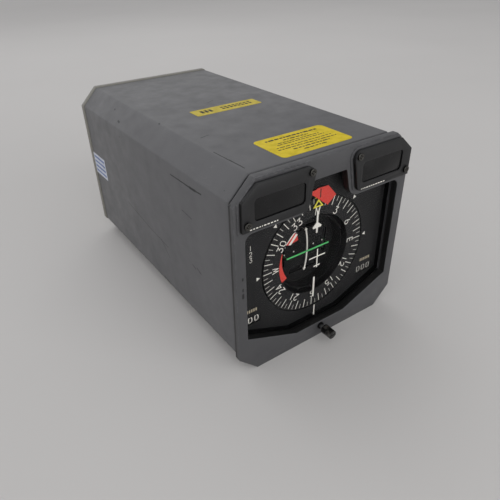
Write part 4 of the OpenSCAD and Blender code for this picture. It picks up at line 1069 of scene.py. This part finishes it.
class INDICATOR_OT_well(bpy.types.Operator):
    """Build the pointers, bars and flags, print the dots, stripe and marker's triangle, and paint
    the lubber line's shadow on the top flag
    """

    bl_idname = "indicator.well"
    bl_label = "Pointers and Flags"

    def execute(self, context):
        bm = bmesh.new()
        flat = flat_on_dial(FACE_Y + DOTS_DEPTH * MM)
        for u in DOT_PLACES:
            add_shape(bm, arc(u * MM, 0, DOT_RADIUS * MM, DOT_RADIUS * MM, 0, 345, 15), flat)
        finish_piece("deviation_dots", bm, "white", "carriage")
        outward = Vector((-math.sqrt(0.5), 0, math.sqrt(0.5)))
        soften("nav_flag", THIN_EDGE * MM, "red", "nav",
               beyond=(CENTRE + outward * FLAG_RIM * MM, outward, "white"))
        bm = bmesh.new()
        turned = flat_on_dial(FACE_Y + STRIPE_DEPTH * MM, math.radians(FLAG_TURN))
        add_shape(bm, in_metres(FLAG_STRIPE), turned)
        finish_piece("nav_flag_stripe", bm, "white", "nav")
        soften("heading_flag", THIN_EDGE * MM, "red", "heading_warning",
               beyond=(Vector((FLAG_ARM_X * MM, 0, 0)), Vector((-1, 0, 0)), "drum"))
        bm = bmesh.new()
        front = flat_on_dial(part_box("heading_bug")[0].y)
        add_shape(bm, in_metres(MARKER_TRIANGLE), front)
        finish_piece("heading_bug_face", bm, "dial", "bug")
        # A dark line on the top flag: painted shadow of the lubber line
        bm = bmesh.new()
        front = flat_on_dial(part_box("heading_flag")[0].y)
        add_stroke(bm, in_metres(FLAG_SHADOW_LINE), FLAG_SHADOW_WIDTH * MM, front)
        finish_piece("heading_flag_shadow_line", bm, "ink", "heading_warning")
        for node, width, depth, finish, body, slot in (
            ("heading_bug", 0, POINTER_DEPTH, "yellow", "bug", "marker_yellow"),
            ("course_arrow", 0, POINTER_DEPTH, "white", "carriage", "marker_white"),
            ("deviation_bar", THIN_EDGE, DEVIATION_DEPTH, "white", "deviation", "marker_white"),
            ("glideslope_bar", THIN_EDGE, GLIDESLOPE_DEPTH, "green", "glideslope", "bar_green"),
        ):
            soften(node, width * MM, finish, body,
                   beyond=(Vector((0, FACE_Y + depth * MM, 0)), BACKWARD, "drum"))
        return {"FINISHED"}


class INDICATOR_OT_labels(bpy.types.Operator):
    """Print plain ruled dashes on the labels and the covers' lower edges"""

    bl_idname = "indicator.labels"
    bl_label = "Labels"

    def execute(self, context):
        place = upper_face("front_label")
        bm = bmesh.new()
        for row, (v, half, thick) in enumerate(FRONT_LABEL_ROWS):
            u = -half
            step = 0
            while u < half:
                # Four dash lengths in a fixed mixed order
                stop = min(u + 1.3 + (step * 7 + row * 5) % 4 * 0.75, half)
                add_dash(bm, u, stop, v, thick, place)
                u = stop + DASH_GAP
                step += 1
        finish_piece("front_label_dashes", bm, "ink", "case_body")
        place = upper_face("rear_label")
        bm = bmesh.new()
        for v, u, stop, thick in REAR_LABEL_ROWS:
            while u < stop:
                add_dash(bm, u, u + REAR_LABEL_DASH, v, thick, place)
                u += REAR_LABEL_PITCH
        for u in REAR_LABEL_BARS:
            points = in_metres([(u, -REAR_BAR_REACH), (u, REAR_BAR_REACH)])
            add_stroke(bm, points, REAR_BAR_WIDTH * MM, place)
        finish_piece("rear_label_dashes", bm, "ink", "case_body")
        low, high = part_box("side_label")
        middle = (low + high) / 2
        place = flat_on_left(low.x, middle.y, middle.z)
        bm = bmesh.new()
        for v in SIDE_LABEL_BARS:
            add_dash(bm, -SIDE_BAR_REACH, SIDE_BAR_REACH, v, SIDE_BAR_WIDTH, place)
        finish_piece("side_label_bars", bm, "label_blue", "case_body")
        place = flat_on_front(0, COVER[0].y, COVER[0].z)
        bm = bmesh.new()
        for u, stop in COVER_ROWS:
            while u < stop:
                # A dash's length follows from its place, so that the lengths look mixed
                wide = 0.5 + (u * 7) % 3 * 0.3
                add_dash(bm, u, u + wide, COVER_ROW_RISE, COVER_ROW_THICK, place)
                u += wide + DASH_GAP
        finish_piece("cover_dashes", bm, "white", "case_body")
        return {"FINISHED"}


def build_floor(scene, colours):
    """Lays the plain pale floor."""
    bm = bmesh.new()
    bmesh.ops.create_grid(bm, x_segments=8, y_segments=8, size=FLOOR_REACH)
    mesh = bpy.data.meshes.new("studio_floor")
    bm.to_mesh(mesh)
    bm.free()
    floor = bpy.data.objects.new("studio_floor", mesh)
    material, tree, shader, place = begin("matt_floor_paint", {"Roughness": 0.8})
    cloud = add(tree, "TexNoise", {"Vector": place, "Scale": 1 / FLOOR_CLOUD, "Detail": 4})
    pale, deep = shade(colours.floor, 1.04), shade(colours.floor, 0.96)
    tone = add(tree, "Mix", {0: cloud, 6: deep, 7: pale}, **COLOURED)
    tree.links.new(tone, shader.inputs["Base Color"])
    mesh.materials.append(material)
    scene.collection.objects.link(floor)


def build_light(scene, studio):
    """Makes the soft sky and hangs the two large lamps."""
    world = bpy.data.worlds.new("soft_sky")
    world.use_nodes = True
    sky = world.node_tree
    toward = add(sky, "TexCoord", out="Generated")
    facing = add(
        sky, "VectorMath", {0: toward, 1: SKY_BRIGHT_WAY}, out="Value", operation="DOT_PRODUCT"
    )
    strength = add(
        sky, "MapRange", {0: facing, 1: -1.0, 2: 1.0, 3: studio.dim, 4: studio.bright}
    )
    sky.links.new(strength, sky.nodes["Background"].inputs["Strength"])
    sky.nodes["Background"].inputs["Color"].default_value = SKY_TINT
    scene.world = world
    for name, power, place in (
        ("overhead_panel", studio.key, OVERHEAD_PLACE),
        ("front_panel", studio.front, FRONT_PLACE),
    ):
        lamp = bpy.data.lights.new(name, "AREA")
        lamp.shape = "RECTANGLE"
        lamp.size, lamp.size_y = LAMP_SIZE
        lamp.energy = power
        panel = bpy.data.objects.new(name, lamp)
        panel.location = place
        turn = (LAMP_AIM - panel.location).to_track_quat("-Z", "Y")
        panel.rotation_euler = turn.to_euler()
        scene.collection.objects.link(panel)


def build_camera(scene, studio):
    """Stands the camera where the photo was taken from."""
    azimuth, elevation, roll = (math.radians(a) for a in CAMERA_TURNS)
    back = Vector((math.sin(azimuth) * math.cos(elevation),
                   -math.cos(azimuth) * math.cos(elevation), math.sin(elevation)))
    right = Vector((0, 0, 1)).cross(back).normalized()
    up = back.cross(right)
    across = right * math.cos(roll) + up * math.sin(roll)
    rise = up * math.cos(roll) - right * math.sin(roll)
    lens = bpy.data.cameras.new("photo_camera")
    lens.sensor_width = 36
    lens.lens = studio.lens
    lens.clip_start = 0.01
    camera = bpy.data.objects.new("photo_camera", lens)
    turned = Matrix((across, rise, back)).transposed().to_4x4()
    camera.matrix_world = Matrix.Translation([c * MM for c in CAMERA_PLACE]) @ turned
    scene.collection.objects.link(camera)
    scene.camera = camera


class INDICATOR_OT_studio(bpy.types.Operator):
    """Set the floor, soft light and camera"""

    bl_idname = "indicator.studio"
    bl_label = "Studio"

    def execute(self, context):
        scene = context.scene
        scene.view_settings.view_transform = "Standard"
        build_floor(scene, scene.indicator_colours)
        build_light(scene, scene.indicator_studio)
        build_camera(scene, scene.indicator_studio)
        return {"FINISHED"}


OPERATORS = (
    INDICATOR_OT_studio,
    INDICATOR_OT_finishes,
    INDICATOR_OT_shell,
    INDICATOR_OT_fittings,
    INDICATOR_OT_card,
    INDICATOR_OT_mask,
    INDICATOR_OT_counters,
    INDICATOR_OT_well,
    INDICATOR_OT_labels,
)


class INDICATOR_PT_panel(bpy.types.Panel):
    """Lists the steps that build the indicator"""

    bl_idname = "INDICATOR_PT_panel"
    bl_label = "Compass Indicator"
    bl_space_type = "VIEW_3D"
    bl_region_type = "UI"
    bl_category = "Indicator"

    def draw(self, context):
        """Draws a button for each step, then every size and colour."""
        for operator in OPERATORS:
            self.layout.operator(operator.bl_idname)
        for group_name, _ in GROUPS:
            group = getattr(context.scene, group_name)
            column = self.layout.column()
            for name in group.bl_rna.properties.keys():
                if name not in ("rna_type", "name"):
                    column.prop(group, name)


GROUPS = (
    ("indicator_colours", FinishColours),
    ("indicator_edges", EdgeSizes),
    ("indicator_dial", DialSizes),
    ("indicator_studio", StudioSettings),
)


def register():
    """Registers the groups, operators and panel."""
    for name, group in GROUPS:
        bpy.utils.register_class(group)
        setattr(bpy.types.Scene, name, PointerProperty(type=group))
    for operator in OPERATORS:
        bpy.utils.register_class(operator)
    bpy.utils.register_class(INDICATOR_PT_panel)


def unregister():
    """Takes everything out again."""
    bpy.utils.unregister_class(INDICATOR_PT_panel)
    for operator in reversed(OPERATORS):
        bpy.utils.unregister_class(operator)
    for name, group in reversed(GROUPS):
        delattr(bpy.types.Scene, name)
        bpy.utils.unregister_class(group)


def main():
    """Builds the whole scene."""
    register()
    for operator in OPERATORS:
        area, step = operator.bl_idname.split(".")
        getattr(getattr(bpy.ops, area), step)()


if __name__ == "__main__":
    main()
